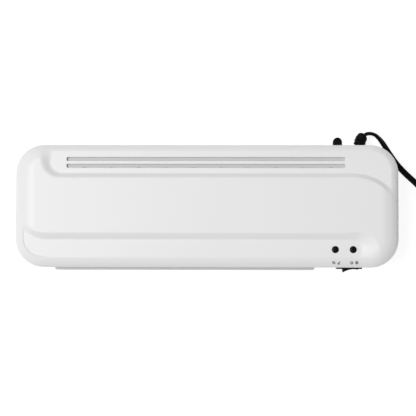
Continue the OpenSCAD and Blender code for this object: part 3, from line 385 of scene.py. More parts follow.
def cord_section():
    """Flat twin cord: two round cores side by side with a shallow groove between them."""
    r, half, reach = CORD_T / 2, (CORD_W - CORD_T) / 2, 1.45
    right = [(half + r * math.cos(a), r * math.sin(a)) for a in np.linspace(-reach, reach, 9)]
    left = [(-half + r * math.cos(a), r * math.sin(a))
            for a in np.linspace(math.pi - reach, math.pi + reach, 9)]
    dip, shoulder_x, shoulder = r * 0.88, half * 0.4, r * 0.97
    return right + [(shoulder_x, shoulder), (0, dip), (-shoulder_x, shoulder)] + left + [
        (-shoulder_x, -shoulder), (0, -dip), (shoulder_x, -shoulder)]


def sweep(line, section_at):
    """Rings of a section carried along a line of (x, y, z, twist)."""
    rings = []
    for i, p in enumerate(line):
        along = line[min(i + 1, len(line) - 1)][:3] - line[max(i - 1, 0)][:3]
        along = along / np.linalg.norm(along)
        side = np.cross(along, (0, 0, 1.0))
        side /= np.linalg.norm(side)
        up = np.cross(side, along)
        a = math.radians(p[3])
        wide = math.cos(a) * side + math.sin(a) * up
        thin = math.cos(a) * up - math.sin(a) * side
        rings.append([tuple(p[:3] + w * wide + t * thin) for w, t in section_at(i)])
    return rings


def gland_point(s):
    """Middle line of the strain relief at s mm from the wall."""
    if s < NECK:
        return np.array([GLAND_X, HALF_D + s, GLAND_Z])
    phi, a = (s - NECK) / GLAND_R, math.radians(180 + GLAND_ROLL)
    x, y = GLAND_R * (math.cos(phi) - 1), GLAND_R * math.sin(phi)
    return np.array([GLAND_X + x * math.cos(a), HALF_D + NECK + y, GLAND_Z - x * math.sin(a)])


def make_gland():
    """Ribbed strain relief; its root is buried in the wall."""
    length = NECK + GLAND_R * math.radians(GLAND_TURN)
    pitch = (length - NECK) / RIBS
    gap, buried = 0.2, 20
    stations = [i * gap for i in range(-buried, int(length / gap) + 1)] + [length, length + 0.15]
    root_r, collar_end, collar_soft, rib_half, taper = 4.4, 2.68, 0.25, 0.75, 0.15

    def radius(s):
        if s < 0:
            return root_r
        core = GLAND_CORE - 0.02
        ribs = [core, RIB_R * min(1, max(0, (collar_end - s) / collar_soft)) ** 0.5]
        for i in range(1, RIBS + 1):
            u = (s - (NECK + i * pitch - rib_half)) / rib_half
            if abs(u) < 1:
                ribs.append(core + (RIB_R - taper * i - core) * (1 - u ** 4) ** 0.5)
        return max(ribs)

    rows = np.array([[*gland_point(s), 0.0] for s in stations])
    rows[:buried, 1] = HALF_D + np.array(stations[:buried])
    boot = Solid()
    turns = np.linspace(0, 2 * math.pi, 40, endpoint=False)
    radii = [radius(s) for s in stations]
    radii[-1] = RIB_R - 1.1
    boot.loft(sweep(rows, lambda i: [(radii[i] * math.cos(a), radii[i] * math.sin(a)) for a in turns]))
    return build("strain_relief", boot, "casing", "cord_cover", ("cord_strain_relief",), 50, even=False)


def make_plug():
    """Moulded plug body with its bend relief and finger grips."""
    x0, y0, z0 = PLUG_AT
    plug = Solid()
    # along the plug: distance, half width, half height and corner radius
    body = [(5.5, 4.6, 4.6, 2.3), (7, 5.6, 5.0, 2.6), (9, 7.2, 5.8, 3), (12, 9.4, 6.6, 3.4),
            (15, 10.9, 7.1, 3.6), (18, 11.8, 7.3, 3.7), (22, 11.6, 7.1, 3.6), (26, 11.2, 6.9, 3.5),
            (30, 11.3, 7.0, 3.5), (33, 11.9, 7.3, 3.6), (36.2, 12.4, 7.45, 3.7), (37.4, 12.3, 7.35, 3.6),
            (37.85, 11.9, 7.0, 3.4), (38, 11.2, 6.4, 3)]
    plug.loft([[(x0 - u, y0 + y, z0 + v) for u, v in rounded_rect(2 * w, 2 * h, r)] for y, w, h, r in body])
    for i in range(3):
        s, r = 0.2 + i * 2.6, 4.6 + 0.2 * i
        plug.lathe([(0, s), (r - 0.4, s), (r - 0.1, s + 0.12), (r, s + 0.4), (r, s + 1), (r - 0.1, s + 1.28),
                    (r - 0.4, s + 1.4), (0, s + 1.4)], (x0, y0, z0), "y", 36)
    plug.lathe([(0, 0.1), (3.4, 0.1), (3.8, 0.5), (3.9, 8), (0, 8)], (x0, y0, z0), "y", 36)
    for side in (-1, 1):
        for k in range(6):
            grip = rounded_rect(8.6, 1.0, 0.48, 4, x0, y0 + (20 + k * 2.2))
            plug.slab(grip, z0 + side * 6.6, z0 + side * 6.6 + 0.75, 0.3)
    return build("mains_plug", plug, "casing", "cord_cover", ("plug_body",), 50)


def make_blades():
    x0, y0, z0 = PLUG_AT
    pitch, half_t, start, end = 12.7, 0.75, 36.5, 53
    blades = Solid()
    for side in (-1, 1):
        xb = x0 + side * pitch / 2
        outline = ([(y0 + start, z0 - 3.15), (y0 + end, z0 - 3.15)]
                   + arc(y0 + 53.5, z0 - 1.15, 2.0, -70, 0, 4) + arc(y0 + 53.5, z0 + 1.15, 2.0, 0, 70, 4)
                   + [(y0 + end, z0 + 3.15), (y0 + start, z0 + 3.15)])
        blades.slab(outline, xb - half_t, xb + half_t, 0.3, lambda p, h: (h, p[0], p[1]))
    return build("plug_blades_polished", blades, "casing", "plug_brass", ("plug_blades",), 35)


def make_tie():
    """Hook and loop tie round the coil."""
    yc, half_y, top, half_w = COIL_AT[1] - 32.15, 8.15, 13.4, 3.0
    loop = np.array(rounded_rect(2 * half_y - 0.9, top - 0.9, 3.2, 8, yc, top / 2))
    tangent = np.roll(loop, -1, 0) - np.roll(loop, 1, 0)
    tangent /= np.linalg.norm(tangent, axis=1)[:, None]
    outward = np.stack([tangent[:, 1], -tangent[:, 0]], 1)
    tie = Solid()
    tie.loft([[(COIL_AT[0] + u, a, b) for a, b in loop + outward * v]
              for u, v in [(-half_w, -0.42), (-half_w, 0.42), (-half_w + 0.3, 0.45), (half_w - 0.3, 0.45),
                           (half_w, 0.42), (half_w, -0.42), (half_w - 0.3, -0.45), (-half_w + 0.3, -0.45)]],
             closed=True)
    return build("cord_tie_strap", tie, "casing", "tie", ("cord_tie",), 40)


def make_cord():
    line = np.vstack([smooth_route(ROUTE, 6)[:-1], coil_line(), smooth_route(TAIL, 6)])
    section = cord_section()
    flat = Solid()
    flat.loft(sweep(line, lambda i: section))
    cord = build("cord", flat, "casing", "cord_cover", ("power_cord", "cord_coil"), 50, even=False)
    with_cord = [make_gland(), make_plug(), make_blades(), make_tie()]


# ---------- the lid's relief ----------

def inset(x, y):
    """How far a point lies inside the casing's outline."""
    qx, qy = np.abs(x) - (HALF_W - CORNER_R), np.abs(y) - (HALF_D - CORNER_R)
    return CORNER_R - (np.hypot(np.maximum(qx, 0), np.maximum(qy, 0)) + np.minimum(np.maximum(qx, qy), 0))


def per_side(x, y, left, right, front, back):
    """A value of each side, blended round the corners."""
    qx, qy = np.maximum(np.abs(x) - (HALF_W - CORNER_R), 0), np.maximum(np.abs(y) - (HALF_D - CORNER_R), 0)
    w = np.arctan2(qy, qx) / (math.pi / 2)
    w = w * w * (3 - 2 * w)
    return (1 - w) * np.where(x < 0, left, right) + w * np.where(y < 0, front, back)


def quarter(u):
    """Height of a quarter round at a share of its width."""
    return np.sqrt(np.maximum(0, 1 - (1 - u) ** 2))


def ease(t, a=0.3):
    """From 0 to 1 with a straight middle and rounded ends."""
    t, k = np.clip(t, 0, 1), 1 / (1 - a)
    middle = k * (t - a / 2)
    return np.where(t < a, k * t * t / (2 * a), np.where(t > 1 - a, 1 - k * (1 - t) ** 2 / (2 * a), middle))


def step_mask(x, y, line, a=0.3):
    """0 below the wall along a line of (x, y, half width), 1 on its left."""
    best, value = np.full(x.shape, 1e9), np.zeros(x.shape)
    for (ax, ay, aw), (bx, by, bw) in zip(line, line[1:]):
        dx, dy = bx - ax, by - ay
        t = np.clip(((x - ax) * dx + (y - ay) * dy) / (dx * dx + dy * dy), 0, 1)
        away = np.hypot(x - ax - t * dx, y - ay - t * dy)
        side = np.sign(dx * (y - ay) - dy * (x - ax))
        near = away < best
        best = np.where(near, away, best)
        value = np.where(near, side * away / (aw + (bw - aw) * t), value)
    return ease((value + 1) / 2, a)


def lines_of_relief():
    """The walls beside the channel and the strip as (x, y, half width), the raised field on their left."""
    def widths(points, w0, w1):
        n = max(1, len(points) - 1)
        return [(x, y, w0 + (w1 - w0) * i / n) for i, (x, y) in enumerate(points)]

    channel_y, sweep_r, strip_y = 27.4, 47.0, -27.8
    channel = (widths([(230, -60)] + arc(132.7, channel_y - sweep_r, sweep_r, 22, 90, 24), 2.5, 2.65)
               + widths(arc(-133, 41.4, 14, 270, 180, 12), 2.65, 4.7) + [(-147, 90, 20)])
    strip = ([(-230, 40, 3)] + widths(arc(-145, 3, 30.8, 190, 270, 20), 2.8, 3.35) + [(100, strip_y, 3.35)]
             + widths([(125, strip_y)] + arc(134.5, -41.8, 14, 90, 0, 12), 3.6, 10.5) + [(148.5, -90, 11)])
    return channel, strip


CHANNEL, STRIP = lines_of_relief()
FIELD_EDGE = (19, 17.5, 16, 14)  # widths of the raised field's rounding: left, right, front, back


def low_edge(x, y):
    """Width of the rounding where the channel and the strip reach the edge."""
    return per_side(x, y, 8.3, 7.7, 9.0, 6.2)


def lid_z(x, y):
    """Height of the lid's upper face."""
    d = inset(x, y)
    raised = EDGE_Z + (TOP_Z - EDGE_Z) * quarter(np.clip(d / per_side(x, y, *FIELD_EDGE), 0, 1))
    e = low_edge(x, y)
    u, crease = np.clip(d / e, 0, 1), 0.17
    low = EDGE_Z + (LOW_Z - EDGE_Z) * ((1 - crease) * quarter(u) + crease * u)
    mask = step_mask(x, y, CHANNEL) * step_mask(x, y, STRIP, 0.16)
    # a fine line round the left front corner, where the flat strip meets the rounded edge
    depth, half_w = 0.75, 0.42
    fade = np.clip((-140 - x) / 14, 0, 1) * np.clip((-14 - y) / 5, 0, 1)
    line = depth * np.exp(-((d - e) / half_w) ** 2) * fade * (1 - mask)
    return low + (raised - low) * mask - line


# ---------- shells ----------

def outline_columns(marks_front, marks_back, step=1.3):
    """Columns round the casing: x and y of the outline and its outward direction, counter-clockwise."""
    def stops(a, b, marks=()):
        inner = sorted(e for e in marks if a < e < b)
        ends, out = [a, *inner, b], []
        for p, q in zip(ends, ends[1:]):
            n = max(1, round((q - p) / step))
            out += [p + (q - p) * k / n for k in range(n)]
        return out + [b]

    def turn(cx, cy, a0, corner=32):
        for k in range(1, corner):
            a = math.radians(a0 + 90 * k / corner)
            cols.append((cx + CORNER_R * math.cos(a), cy + CORNER_R * math.sin(a), math.cos(a), math.sin(a)))

    x, y = HALF_W - CORNER_R, HALF_D - CORNER_R
    cols = [(HALF_W, v, 1, 0) for v in stops(-y, y)]
    turn(x, y, 0)
    cols += [(v, HALF_D, 0, 1) for v in stops(-x, x, marks_back)[::-1]]
    turn(-x, y, 90)
    cols += [(-HALF_W, v, -1, 0) for v in stops(-y, y)[::-1]]
    turn(-x, -y, 180)
    cols += [(v, -HALF_D, 0, -1) for v in stops(-x, x, marks_front)]
    turn(x, -y, 270)
    return np.array(cols)


def grid_inside(xs, ys, depth):
    """Points of a grid that lie deeper than depth inside the casing's outline."""
    gx, gy = [g.ravel() for g in np.meshgrid(xs, ys)]
    return np.stack([gx, gy], 1)[inset(gx, gy) > depth]


def triangulate(ring, grid, holes):
    """Triangles of the area inside a ring and outside the holes, through all the points."""
    points, edges = [], []
    for loop in [ring, *holes]:
        base = len(points)
        points += [tuple(p) for p in loop]
        edges += [(base + i, base + (i + 1) % len(loop)) for i in range(len(loop))]
    fixed, too_near = np.array(points), 0.16  # the square of the least distance
    points += [tuple(p) for p in grid
               if np.min((fixed[:, 0] - p[0]) ** 2 + (fixed[:, 1] - p[1]) ** 2) > too_near]
    out, _, tris, origin, _, _ = delaunay_2d_cdt([Vector(p) for p in points], edges, [], 1, 1e-6)
    if len(out) != len(points):
        raise RuntimeError("the lid's plan has points that meet")
    where = [o[0] for o in origin]
    p = np.array(points)
    t = np.array([[where[i] for i in f] for f in tris if len(f) == 3])
    mid = p[t].mean(1)
    good = np.ones(len(t), bool)
    for hole in holes:
        h = np.array(hole)
        inside = np.zeros(len(t), bool)
        for a, b in zip(h, np.roll(h, -1, 0)):
            cross = (a[1] > mid[:, 1]) != (b[1] > mid[:, 1])
            with np.errstate(divide="ignore", invalid="ignore"):
                at = (b[0] - a[0]) * (mid[:, 1] - a[1]) / (b[1] - a[1]) + a[0]
            inside ^= cross & (mid[:, 0] < at)
        good &= ~inside
    t = t[good]
    area = ((p[t[:, 1]] - p[t[:, 0]])[:, 0] * (p[t[:, 2]] - p[t[:, 0]])[:, 1]
            - (p[t[:, 1]] - p[t[:, 0]])[:, 1] * (p[t[:, 2]] - p[t[:, 0]])[:, 0])
    t[area < 0] = t[area < 0][:, ::-1]
    return p, t


def inner_side(cap, out_x, out_y, depth, width, height, up, nx, ny):
    """The points of a cap pulled in by the wall, square to an edge rounded by width and height."""
    u = np.clip(depth / width, 1e-4, 1)
    slope = height / width * (1 - u) / np.sqrt(np.maximum(1e-9, 1 - (1 - u) ** 2))
    scale = 1 / np.sqrt(1 + slope ** 2)
    pulled = cap - WALL * np.stack([out_x * slope * scale, out_y * slope * scale, up * scale], 1)
    pulled[:len(nx)] = cap[:len(nx)] - WALL * np.stack([nx, ny, 0 * nx], 1)
    return pulled


def thick_shell(outer, inner, faces):
    """Closed shell from outer and inner points with the same faces; every rim is rounded."""
    outer, inner = np.array(outer), np.array(inner)
    n = len(outer)
    normal = np.zeros((n, 3))
    for f in faces:
        a = outer[list(f)]
        area = np.cross(a[1] - a[0], a[-1] - a[0])
        for i in f:
            normal[i] += area
    normal /= np.maximum(np.linalg.norm(normal, axis=1), 1e-9)[:, None]
    directed = {(f[i], f[(i + 1) % len(f)]) for f in faces for i in range(len(f))}
    after = {a: b for a, b in directed if (b, a) not in directed}
    before = {b: a for a, b in after.items()}
    verts = [*map(tuple, outer), *map(tuple, inner)]
    made = [tuple(f) for f in faces] + [tuple(n + i for i in f[::-1]) for f in faces]
    extra = {}
    for v in after:
        along = outer[after[v]] - outer[before[v]]
        out = np.cross(along, normal[v])
        out /= np.linalg.norm(out)
        extra[v] = len(verts)
        for a in (0.39, 0.79, 1.18, math.pi / 2):  # the rim's quarter turn in four steps
            verts.append(tuple(outer[v] + out * RIM * math.sin(a) - normal[v] * RIM * (1 - math.cos(a))))
        verts.append(tuple(inner[v] + out * RIM))
    for a, b in after.items():
        chain_a = [a, *range(extra[a], extra[a] + 5), n + a]
        chain_b = [b, *range(extra[b], extra[b] + 5), n + b]
        made += [(chain_b[k], chain_a[k], chain_a[k + 1], chain_b[k + 1]) for k in range(6)]
    shell = Solid()
    shell.add(verts, made)
    return shell


def notch_top(x, x0, x1, z, r):
    """Upper edge of an opening with rounded corners; NaN outside it."""
    inside = np.clip(np.minimum(x - x0, x1 - x), 0, r)
    edge = z - r + np.sqrt(np.maximum(0, r * r - (r - inside) ** 2))
    return np.where((x >= x0 - 1e-6) & (x <= x1 + 1e-6), edge, np.nan)


def make_lid():
    bend, deepest = 1.5, 10.9
    sheet, lever = [(x0 - RIM, x1 + RIM) for x0, x1 in (SHEET_SLOT, LEVER_SLOT)]
    near = [0, 0.15, 0.45, 0.9, bend]
    marks = [sheet[0] + d for d in near] + [sheet[1] - d for d in near]
    cols = outline_columns(marks, marks + [lever[0] + d for d in near] + [lever[1] - d for d in near])
    x, y, nx, ny = cols.T
    count = len(cols)
    e = low_edge(x - nx, y - ny)
    # rings of the rounded edge, as shares of its width, closer together where it starts and ends
    shares = [1 - math.cos(math.pi / 2 * k / 15) for k in range(13)]
    shares += [0.86, 0.92, 0.96, 1.0, 1.04, 1.08, 1.13]
    depths = [s * e for s in sorted({round(s, 5) for s in shares})] + [np.full(count, deepest)]
    outer, faces = [], []
    for d in depths:
        px, py = x - nx * d, y - ny * d
        outer.append(np.stack([px, py, lid_z(px, py)], 1))
    rings = len(depths)
    for k in range(rings - 1):
        a, b = k * count, (k + 1) * count
        faces += [(a + i, a + (i + 1) % count, b + (i + 1) % count, b + i) for i in range(count)]

    spacing, lamp_hole_r = 2.0, 3.2
    holes = []
    for v in VENT_ROWS:
        vent = rounded_rect(VENT_LENGTH + 2 * RIM, VENT_W + 2 * RIM, 0.9 + RIM, 5, VENT_MID, v)
        loop = []
        for a, b in zip(vent, vent[1:] + vent[:1]):
            n = max(1, round(math.dist(a, b) / spacing))
            loop += [(a[0] + (b[0] - a[0]) * k / n, a[1] + (b[1] - a[1]) * k / n) for k in range(n)
                     if math.dist(a, b) > 1e-6]
        holes.append(loop)
    holes += [arc(cx, cy, lamp_hole_r + RIM, 0, 360, 40)[:-1] for cx, cy in LAMPS]
    # the grid is fine where the relief bends
    xs = np.concatenate([np.arange(-164, -128, 0.9), np.arange(-128, 118, 2.4), np.arange(118, 165, 0.9)])
    ys = np.concatenate([np.arange(-45, -32.4, 1.5), np.arange(-32.4, -23, 0.55), np.arange(-23, 12, 1.4),
                         np.arange(12, 23, 0.9), np.arange(23, 31.5, 0.5), np.arange(31.5, 45.2, 1.3)])
    plan, tris = triangulate(outer[-1][:, :2], grid_inside(xs, ys, deepest + 0.5), holes)
    # the plan's first points are the last ring's
    faces += [tuple(int(i) + (rings - 1) * count for i in t) for t in tris]
    inside = plan[count:]
    outer.append(np.stack([inside[:, 0], inside[:, 1], lid_z(inside[:, 0], inside[:, 1])], 1))
    cap = np.vstack(outer)

    # outward direction: across the outline, and on the rings the column's own
    first, step = rings * count, 0.05
    out_x = -(inset(cap[:, 0] + step, cap[:, 1]) - inset(cap[:, 0] - step, cap[:, 1])) / (2 * step)
    out_y = -(inset(cap[:, 0], cap[:, 1] + step) - inset(cap[:, 0], cap[:, 1] - step)) / (2 * step)
    out_x[:first], out_y[:first] = np.tile(nx, rings), np.tile(ny, rings)
    cap_in = inner_side(cap, out_x, out_y, inset(cap[:, 0], cap[:, 1]),
                        per_side(cap[:, 0], cap[:, 1], *FIELD_EDGE), TOP_Z - EDGE_Z, 1, nx, ny)

    # side walls, open below the level where a slot starts
    lever_z, sheet_z = 47.1, 34.3
    levels = [lever_z, 44, 41, 38, 36, sheet_z, 31.8, 29.8, 28.6, 28.0]
    base = len(cap)
    walls, walls_in = [], []
    on_front, on_back = ny == -1, ny == 1
    tops = {levels.index(sheet_z): np.where(on_front | on_back, notch_top(x, *sheet, sheet_z, bend), np.nan),
            levels.index(lever_z): np.where(on_back, notch_top(x, *lever, lever_z, bend), np.nan)}
    cut = {k: ~np.isnan(t) for k, t in tops.items()}
    for k, z in enumerate(levels):
        zz = np.full(count, z)
        if k in tops:
            zz = np.where(cut[k], tops[k], zz)
        walls.append(np.stack([x, y, zz], 1))
        walls_in.append(np.stack([x - nx * WALL, y - ny * WALL, zz], 1))
    for k in range(len(levels)):
        for i in range(count):
            j = (i + 1) % count
            if any(k > level and cut[level][i] and cut[level][j] for level in cut):
                continue
            up = (lambda c: c) if k == 0 else (lambda c: base + (k - 1) * count + c)
            faces.append((up(j), up(i), base + k * count + i, base + k * count + j))
    outer_all = np.vstack([cap, *walls])
    inner_all = np.vstack([cap_in, *walls_in])
    used = sorted({i for f in faces for i in f})
    index = {v: i for i, v in enumerate(used)}
    faces = [tuple(index[i] for i in f) for f in faces]
    lid = thick_shell(outer_all[used], inner_all[used], faces)
    bore_r, boss_r, foot_z = 1.55, 3.5, 23
    for bx, by, bz in BOSSES:
        lid.lathe([(bore_r, foot_z), (boss_r - 0.2, foot_z), (boss_r, foot_z + 0.2), (boss_r, bz - 3.2),
                   (bore_r, bz - 3.2), (bore_r, foot_z)], (bx, by, 0), "z", 32)
    build("upper_casing_shell", lid, "casing", "white_shell", ("upper_casing",), 40)


def make_base():
    switch_hole, gland_hole = (122.6, 142.0), (138.5, 146.5)
    cols = outline_columns(switch_hole, gland_hole, 1.8)
    x, y, nx, ny = cols.T
    count = len(cols)
    bottom, edge, rise = 2.5, 6.0, 7.5
    shares = [1 - math.cos(math.pi / 2 * k / 9) for k in range(10)]
    depths = [s * edge for s in shares] + [7.2]
    rows = []
    for d in depths:
        z = bottom + rise * (1 - quarter(min(1, d / edge)))
        rows.append(np.stack([x - nx * d, y - ny * d, np.full(count, z)], 1))
    faces = []
    for k in range(len(depths) - 1):
        a, b = k * count, (k + 1) * count
        faces += [(a + (i + 1) % count, a + i, b + i, b + (i + 1) % count) for i in range(count)]
    # air slots, then the screw holes
    screw_hole_r = 3.5
    holes = [rounded_rect(44 + 2 * RIM, 2.8 + 2 * RIM, 1.39 + RIM, 6, hx, hy)
             for hx in (-75, -15, 45) for hy in (-34, -28, 28, 34)]
    holes = [[p for p, q in zip(h, h[1:] + h[:1]) if math.dist(p, q) > 1e-6] for h in holes]
    holes += [arc(bx, by, screw_hole_r + RIM, 0, 360, 32)[:-1] for bx, by, _ in BOSSES]
    grid = grid_inside(np.arange(-165, 166, 7.0), np.arange(-46, 47, 6.5), 9)
    plan, tris = triangulate(rows[-1][:, :2], grid, holes)
    rings = len(depths)
    faces += [tuple(int(i) + (rings - 1) * count for i in t[::-1]) for t in tris]
    inside = plan[count:]
    rows.append(np.stack([inside[:, 0], inside[:, 1], np.full(len(inside), bottom)], 1))
    cap = np.vstack(rows)
    first = rings * count
    d = np.concatenate([np.repeat(depths, count), np.full(len(inside), 99.0)])
    out_x, out_y = np.zeros((2, len(cap)))
    out_x[:first], out_y[:first] = np.tile(nx, rings), np.tile(ny, rings)
    cap_in = inner_side(cap, out_x, out_y, d, edge, rise, -1, nx, ny)
    levels = [10.9, 13, 16, 20, 24.1, 25.5, 26.4, 27.0]
    base = len(cap)
    walls = [np.stack([x, y, np.full(count, z)], 1) for z in levels]
    walls_in = [np.stack([x - nx * WALL, y - ny * WALL, np.full(count, z)], 1) for z in levels]

    def spans(i, j, facing, hole):
        low, high = min(x[i], x[j]), max(x[i], x[j])
        return ny[i] == ny[j] == facing and low >= hole[0] - 0.01 and high <= hole[1] + 0.01

    def open_at(i, j, k):
        """Whether the switch's or the cord's hole is between these columns and levels."""
        return (spans(i, j, -1, switch_hole) and 1 <= k <= 4) or (spans(i, j, 1, gland_hole) and 3 <= k <= 4)

    for k in range(len(levels)):
        for i in range(count):
            j = (i + 1) % count
            if not open_at(i, j, k):
                low = (lambda c: c) if k == 0 else (lambda c: base + (k - 1) * count + c)
                faces.append((low(i), low(j), base + k * count + j, base + k * count + i))
    tray = thick_shell(np.vstack([cap, *walls]), np.vstack([cap_in, *walls_in]), faces)
    # locating lip, lower where the sheet and the lever pass
    ring_in, ring_out, low_z, seam_z, lip_z = 3.9, 2.2, 22.0, 27.2, 30.3
    by_sheet = (np.abs(y) > 40) & (x > SHEET_SLOT[0]) & (x < SHEET_SLOT[1])
    by_lever = (y > 40) & (x > LEVER_SLOT[0] - 0.2) & (x < LEVER_SLOT[1] + 0.2)
    foot, seam = np.full(count, low_z), np.full(count, seam_z)
    top = np.where(by_sheet | by_lever, seam_z, lip_z)
    profile = [(ring_out, foot), (ring_in, foot), (ring_in, top), (ring_out + 0.5, top),
               (ring_out + 0.5, seam), (ring_out, seam)]
    tray.loft([np.stack([x - nx * d, y - ny * d, z], 1) for d, z in profile], closed=True)
    for bx, by, _ in BOSSES:
        tray.lathe([(3.5, 4.0), (4.5, 4.0), (4.5, 22.8), (1.7, 22.8), (1.7, 19.8), (3.5, 19.8), (3.5, 4.0)],
                   (bx, by, 0), "z", 32)
    build("lower_casing_shell", tray, "casing", "white_shell", ("lower_casing",), 40)


# ---------- smaller outside pieces ----------

def make_trays():
    # the grey_tray finish is white plastic darkened by painted shade from the lid above
    x0, x1, front, z0, z1 = -141.5, 99.7, -58.5, 27.4, 29.0
    entry = Solid()
    cut = 1.6
    entry.slab([(x1, -32), (x0, -32), (x0, front + cut), (x0 + cut, front), (x1 - cut, front),
                (x1, front + cut)], z0, z1, 0.4)
    # low ribs that carry the pouch
    rib = [(-50, z1 - 0.4), (-44, z1 - 0.4), (-34, z1 - 0.4), (-34, z1 + 0.38), (-44, z1 + 0.38),
           (-50, z1 + 0.02)]
    for rx in range(-120, 81, 40):
        entry.slab(rib, rx - 0.7, rx + 0.7, 0.2, lambda p, h: (h, p[0], p[1]))
    build("entry_tray_plate", entry, "casing", "grey_tray", ("entry_tray",), 35)
    rear = Solid()
    rear.slab([(x1, 24), (x1, 56.6), (x0, 56.6), (x0, 24)], z0, z1, 0.4)
    build("exit_tray_plate", rear, "casing", "grey_tray", ("exit_tray",), 35)


def make_switch():
    cx, cz = 132.3, 17.5
    # width, height, corner radius and y of each ring
    rows = [(23.6, 16, 1.5, -56.0), (23.6, 16, 1.5, -56.75), (23.45, 15.85, 1.45, -57.05),
            (23.1, 15.5, 1.3, -57.24), (22.6, 15.0, 1.1, -57.3), (18.4, 11.8, 0.8, -57.3),
            (17.9, 11.3, 0.7, -57.22), (17.55, 10.95, 0.6, -57.0), (17.4, 10.8, 0.5, -56.6),
            (17.4, 10.8, 0.5, -46.0), (17.4, 10.8, 0.5, -45.0), (19.2, 13.0, 0.8, -45.0),
            (19.2, 13.0, 0.8, -55.9), (22.0, 14.4, 1.0, -55.95)]
    bezel = Solid()
    bezel.loft([[(cx + u, v, cz + w) for u, w in rounded_rect(a, b, r, 5)] for a, b, r, v in rows],
               closed=True)
    bezel.slab(rounded_rect(19.2, 13.0, 0.8, 4, cx, cz), 41.0, 45.2, 0.5, lambda p, h: (p[0], -h, p[1]))
    build("switch_bezel", bezel, "casing", "black_plastic", ("switch_housing",), 40)

    tilt, half, depth = math.radians(10.5), 7.3, 7.6
    pivot_y = -56 - 4.5 + depth * math.cos(tilt) + half * math.sin(tilt)

    def seat(p, h):
        return (cx + p[0] * math.cos(tilt) - p[1] * math.sin(tilt),
                pivot_y + p[0] * math.sin(tilt) + p[1] * math.cos(tilt), h)

    # the paddle's face is hollowed between its two tips
    middle, fall, share = -6.2, 1.38, 0.97
    face = [(-half + 0.05, -depth + 0.35), (-half + 0.2, -depth + 0.1),
            *[(s * half * share, middle - fall * s * s) for s in np.linspace(-1, 1, 21)],
            (half - 0.2, -depth + 0.1), (half - 0.05, -depth + 0.35)]
    outline = face + [(half, -depth + 0.8), (half - 0.7, -1), (3, 3), (-3, 3), (-half + 0.7, -1),
                      (-half, -depth + 0.8)]
    rocker = Solid()
    rocker.slab(outline, cz - 5.2, cz + 5.2, 0.5, seat)
    rocker.lathe([(0, -6), (1.0, -6), (1.2, -5.8), (1.2, 5.8), (1.0, 6), (0, 6)], (cx, pivot_y, cz), "z", 24)
    build("switch_rocker", rocker, "power_rocker", "black_plastic", ("power_rocker",), 40)

    # on and off marks on the paddle's two halves
    marks = Solid()

    def on_face(s, h):
        return seat((s, middle - fall * (s / (half * share)) ** 2 - 0.03), h)

    bar = [(-3.85, -1.6), (-3.35, -1.6), (-3.35, 1.6), (-3.85, 1.6)]
    marks.add([on_face(s, cz + h) for s, h in bar], [(0, 1, 2, 3)])
    n = 28
    ring = [on_face(3.6 + r * math.cos(2 * math.pi * k / n), cz + r * math.sin(2 * math.pi * k / n))
            for r in (1.55, 1.15) for k in range(n)]
    marks.add(ring, [(k, (k + 1) % n, n + (k + 1) % n, n + k) for k in range(n)])
    build("switch_marks", marks, "power_rocker", "black_plastic", material="mark_white", even=False,
          closed=False)


def make_lever():
    mid, half = 120.0, 4.2
    # y, lower and upper z, and half width of each section
    rows = [(11, 43.6, 48.4, 3.6), (12, 41.8, 50.0, 4.0), (14, 40.6, 51.2, half), (17, 40.1, 51.6, half),
            (21, 40.5, 50.9, half), (28, 40.6, 49.4, half), (40, 40.4, 47.1, half), (48, 39.5, 46.1, half),
            (54, 38.8, 45.3, half), (58, 38.3, 44.9, half)]
    rows += [(59.4 + half * math.sin(a), 38.2 + 0.9 * (1 - math.cos(a)), 44.8 - 0.9 * (1 - math.cos(a)),
              max(half * math.cos(a), 0.6)) for a in np.linspace(0, 1.5, 10)]
    lever = Solid()
    sections = [rounded_rect(2 * h, z1 - z0, min(1.3, h * 0.9), 5) for _, z0, z1, h in rows]
    lever.loft([[(mid + u, v, (z0 + z1) / 2 + w) for u, w in section][::-1]
                for section, (v, z0, z1, _) in zip(sections, rows)])
    # grip ridges across the knob
    for k in range(3):
        yk = 58.2 + k * 1.35
        lever.slab(rounded_rect(6.0 - 0.6 * k, 0.55, 0.26, 4, mid, yk), 44.6, 44.98, 0.15)
    build("release_lever_knob", lever, "release", "black_plastic", ("release_lever",), 40)


def make_lamps():
    lens = Solid()
    for cx, cy in LAMPS:
        lens.lathe([(0, 54.2), (3.1, 54.2), (4.0, 54.4), (4.0, 55.9), (3.1, 56.0), (3.1, 58.45), (3.04, 58.6),
                    (2.9, 58.7), (2.55, 58.76), (2.35, 58.78), (2.25, 58.9), (1.9, 58.97), (1.3, 59.02),
                    (0.6, 59.05), (0, 59.06)], (cx, cy, 0), "z", 48)
    build("lamp_domes", lens, "casing", "lamp", ("lamp_lenses",), 30)


def make_feet():
    feet = Solid()
    for fx, fy in FEET:
        feet.lathe([(0, 0.35), (2.2, 0.3), (2.6, 0.05), (3.2, 0), (5.0, 0), (5.5, 0.12), (5.8, 0.45),
                    (5.95, 1.0), (6, 3.2), (5.9, 3.3), (0, 3.3)], (fx, fy, 0), "z", 48)
    build("rubber_feet_turned", feet, "casing", "rubber_foot", ("rubber_feet",), 35)


def ribbon(solid, points, width, height=0.04):
    """A printed stroke that follows the lid."""
    p = np.array(points, float)
    closed = np.allclose(p[0], p[-1])
    if closed:
        tangent = np.roll(p[:-1], -1, 0) - np.roll(p[:-1], 1, 0)
        tangent = np.vstack([tangent, tangent[:1]])
    else:
        tangent = np.gradient(p, axis=0)
    tangent /= np.linalg.norm(tangent, axis=1)[:, None]
    side = np.stack([-tangent[:, 1], tangent[:, 0]], 1) * width / 2
    left, right = p + side, p - side
    verts = []
    for q in (right, left):
        z = lid_z(q[:, 0], q[:, 1]) + height
        verts += [(a, b, c) for a, b, c in zip(q[:, 0], q[:, 1], z)]
    n = len(p)
    solid.add(verts, [(k, k + 1, n + k + 1, n + k) for k in range(n - 1)])


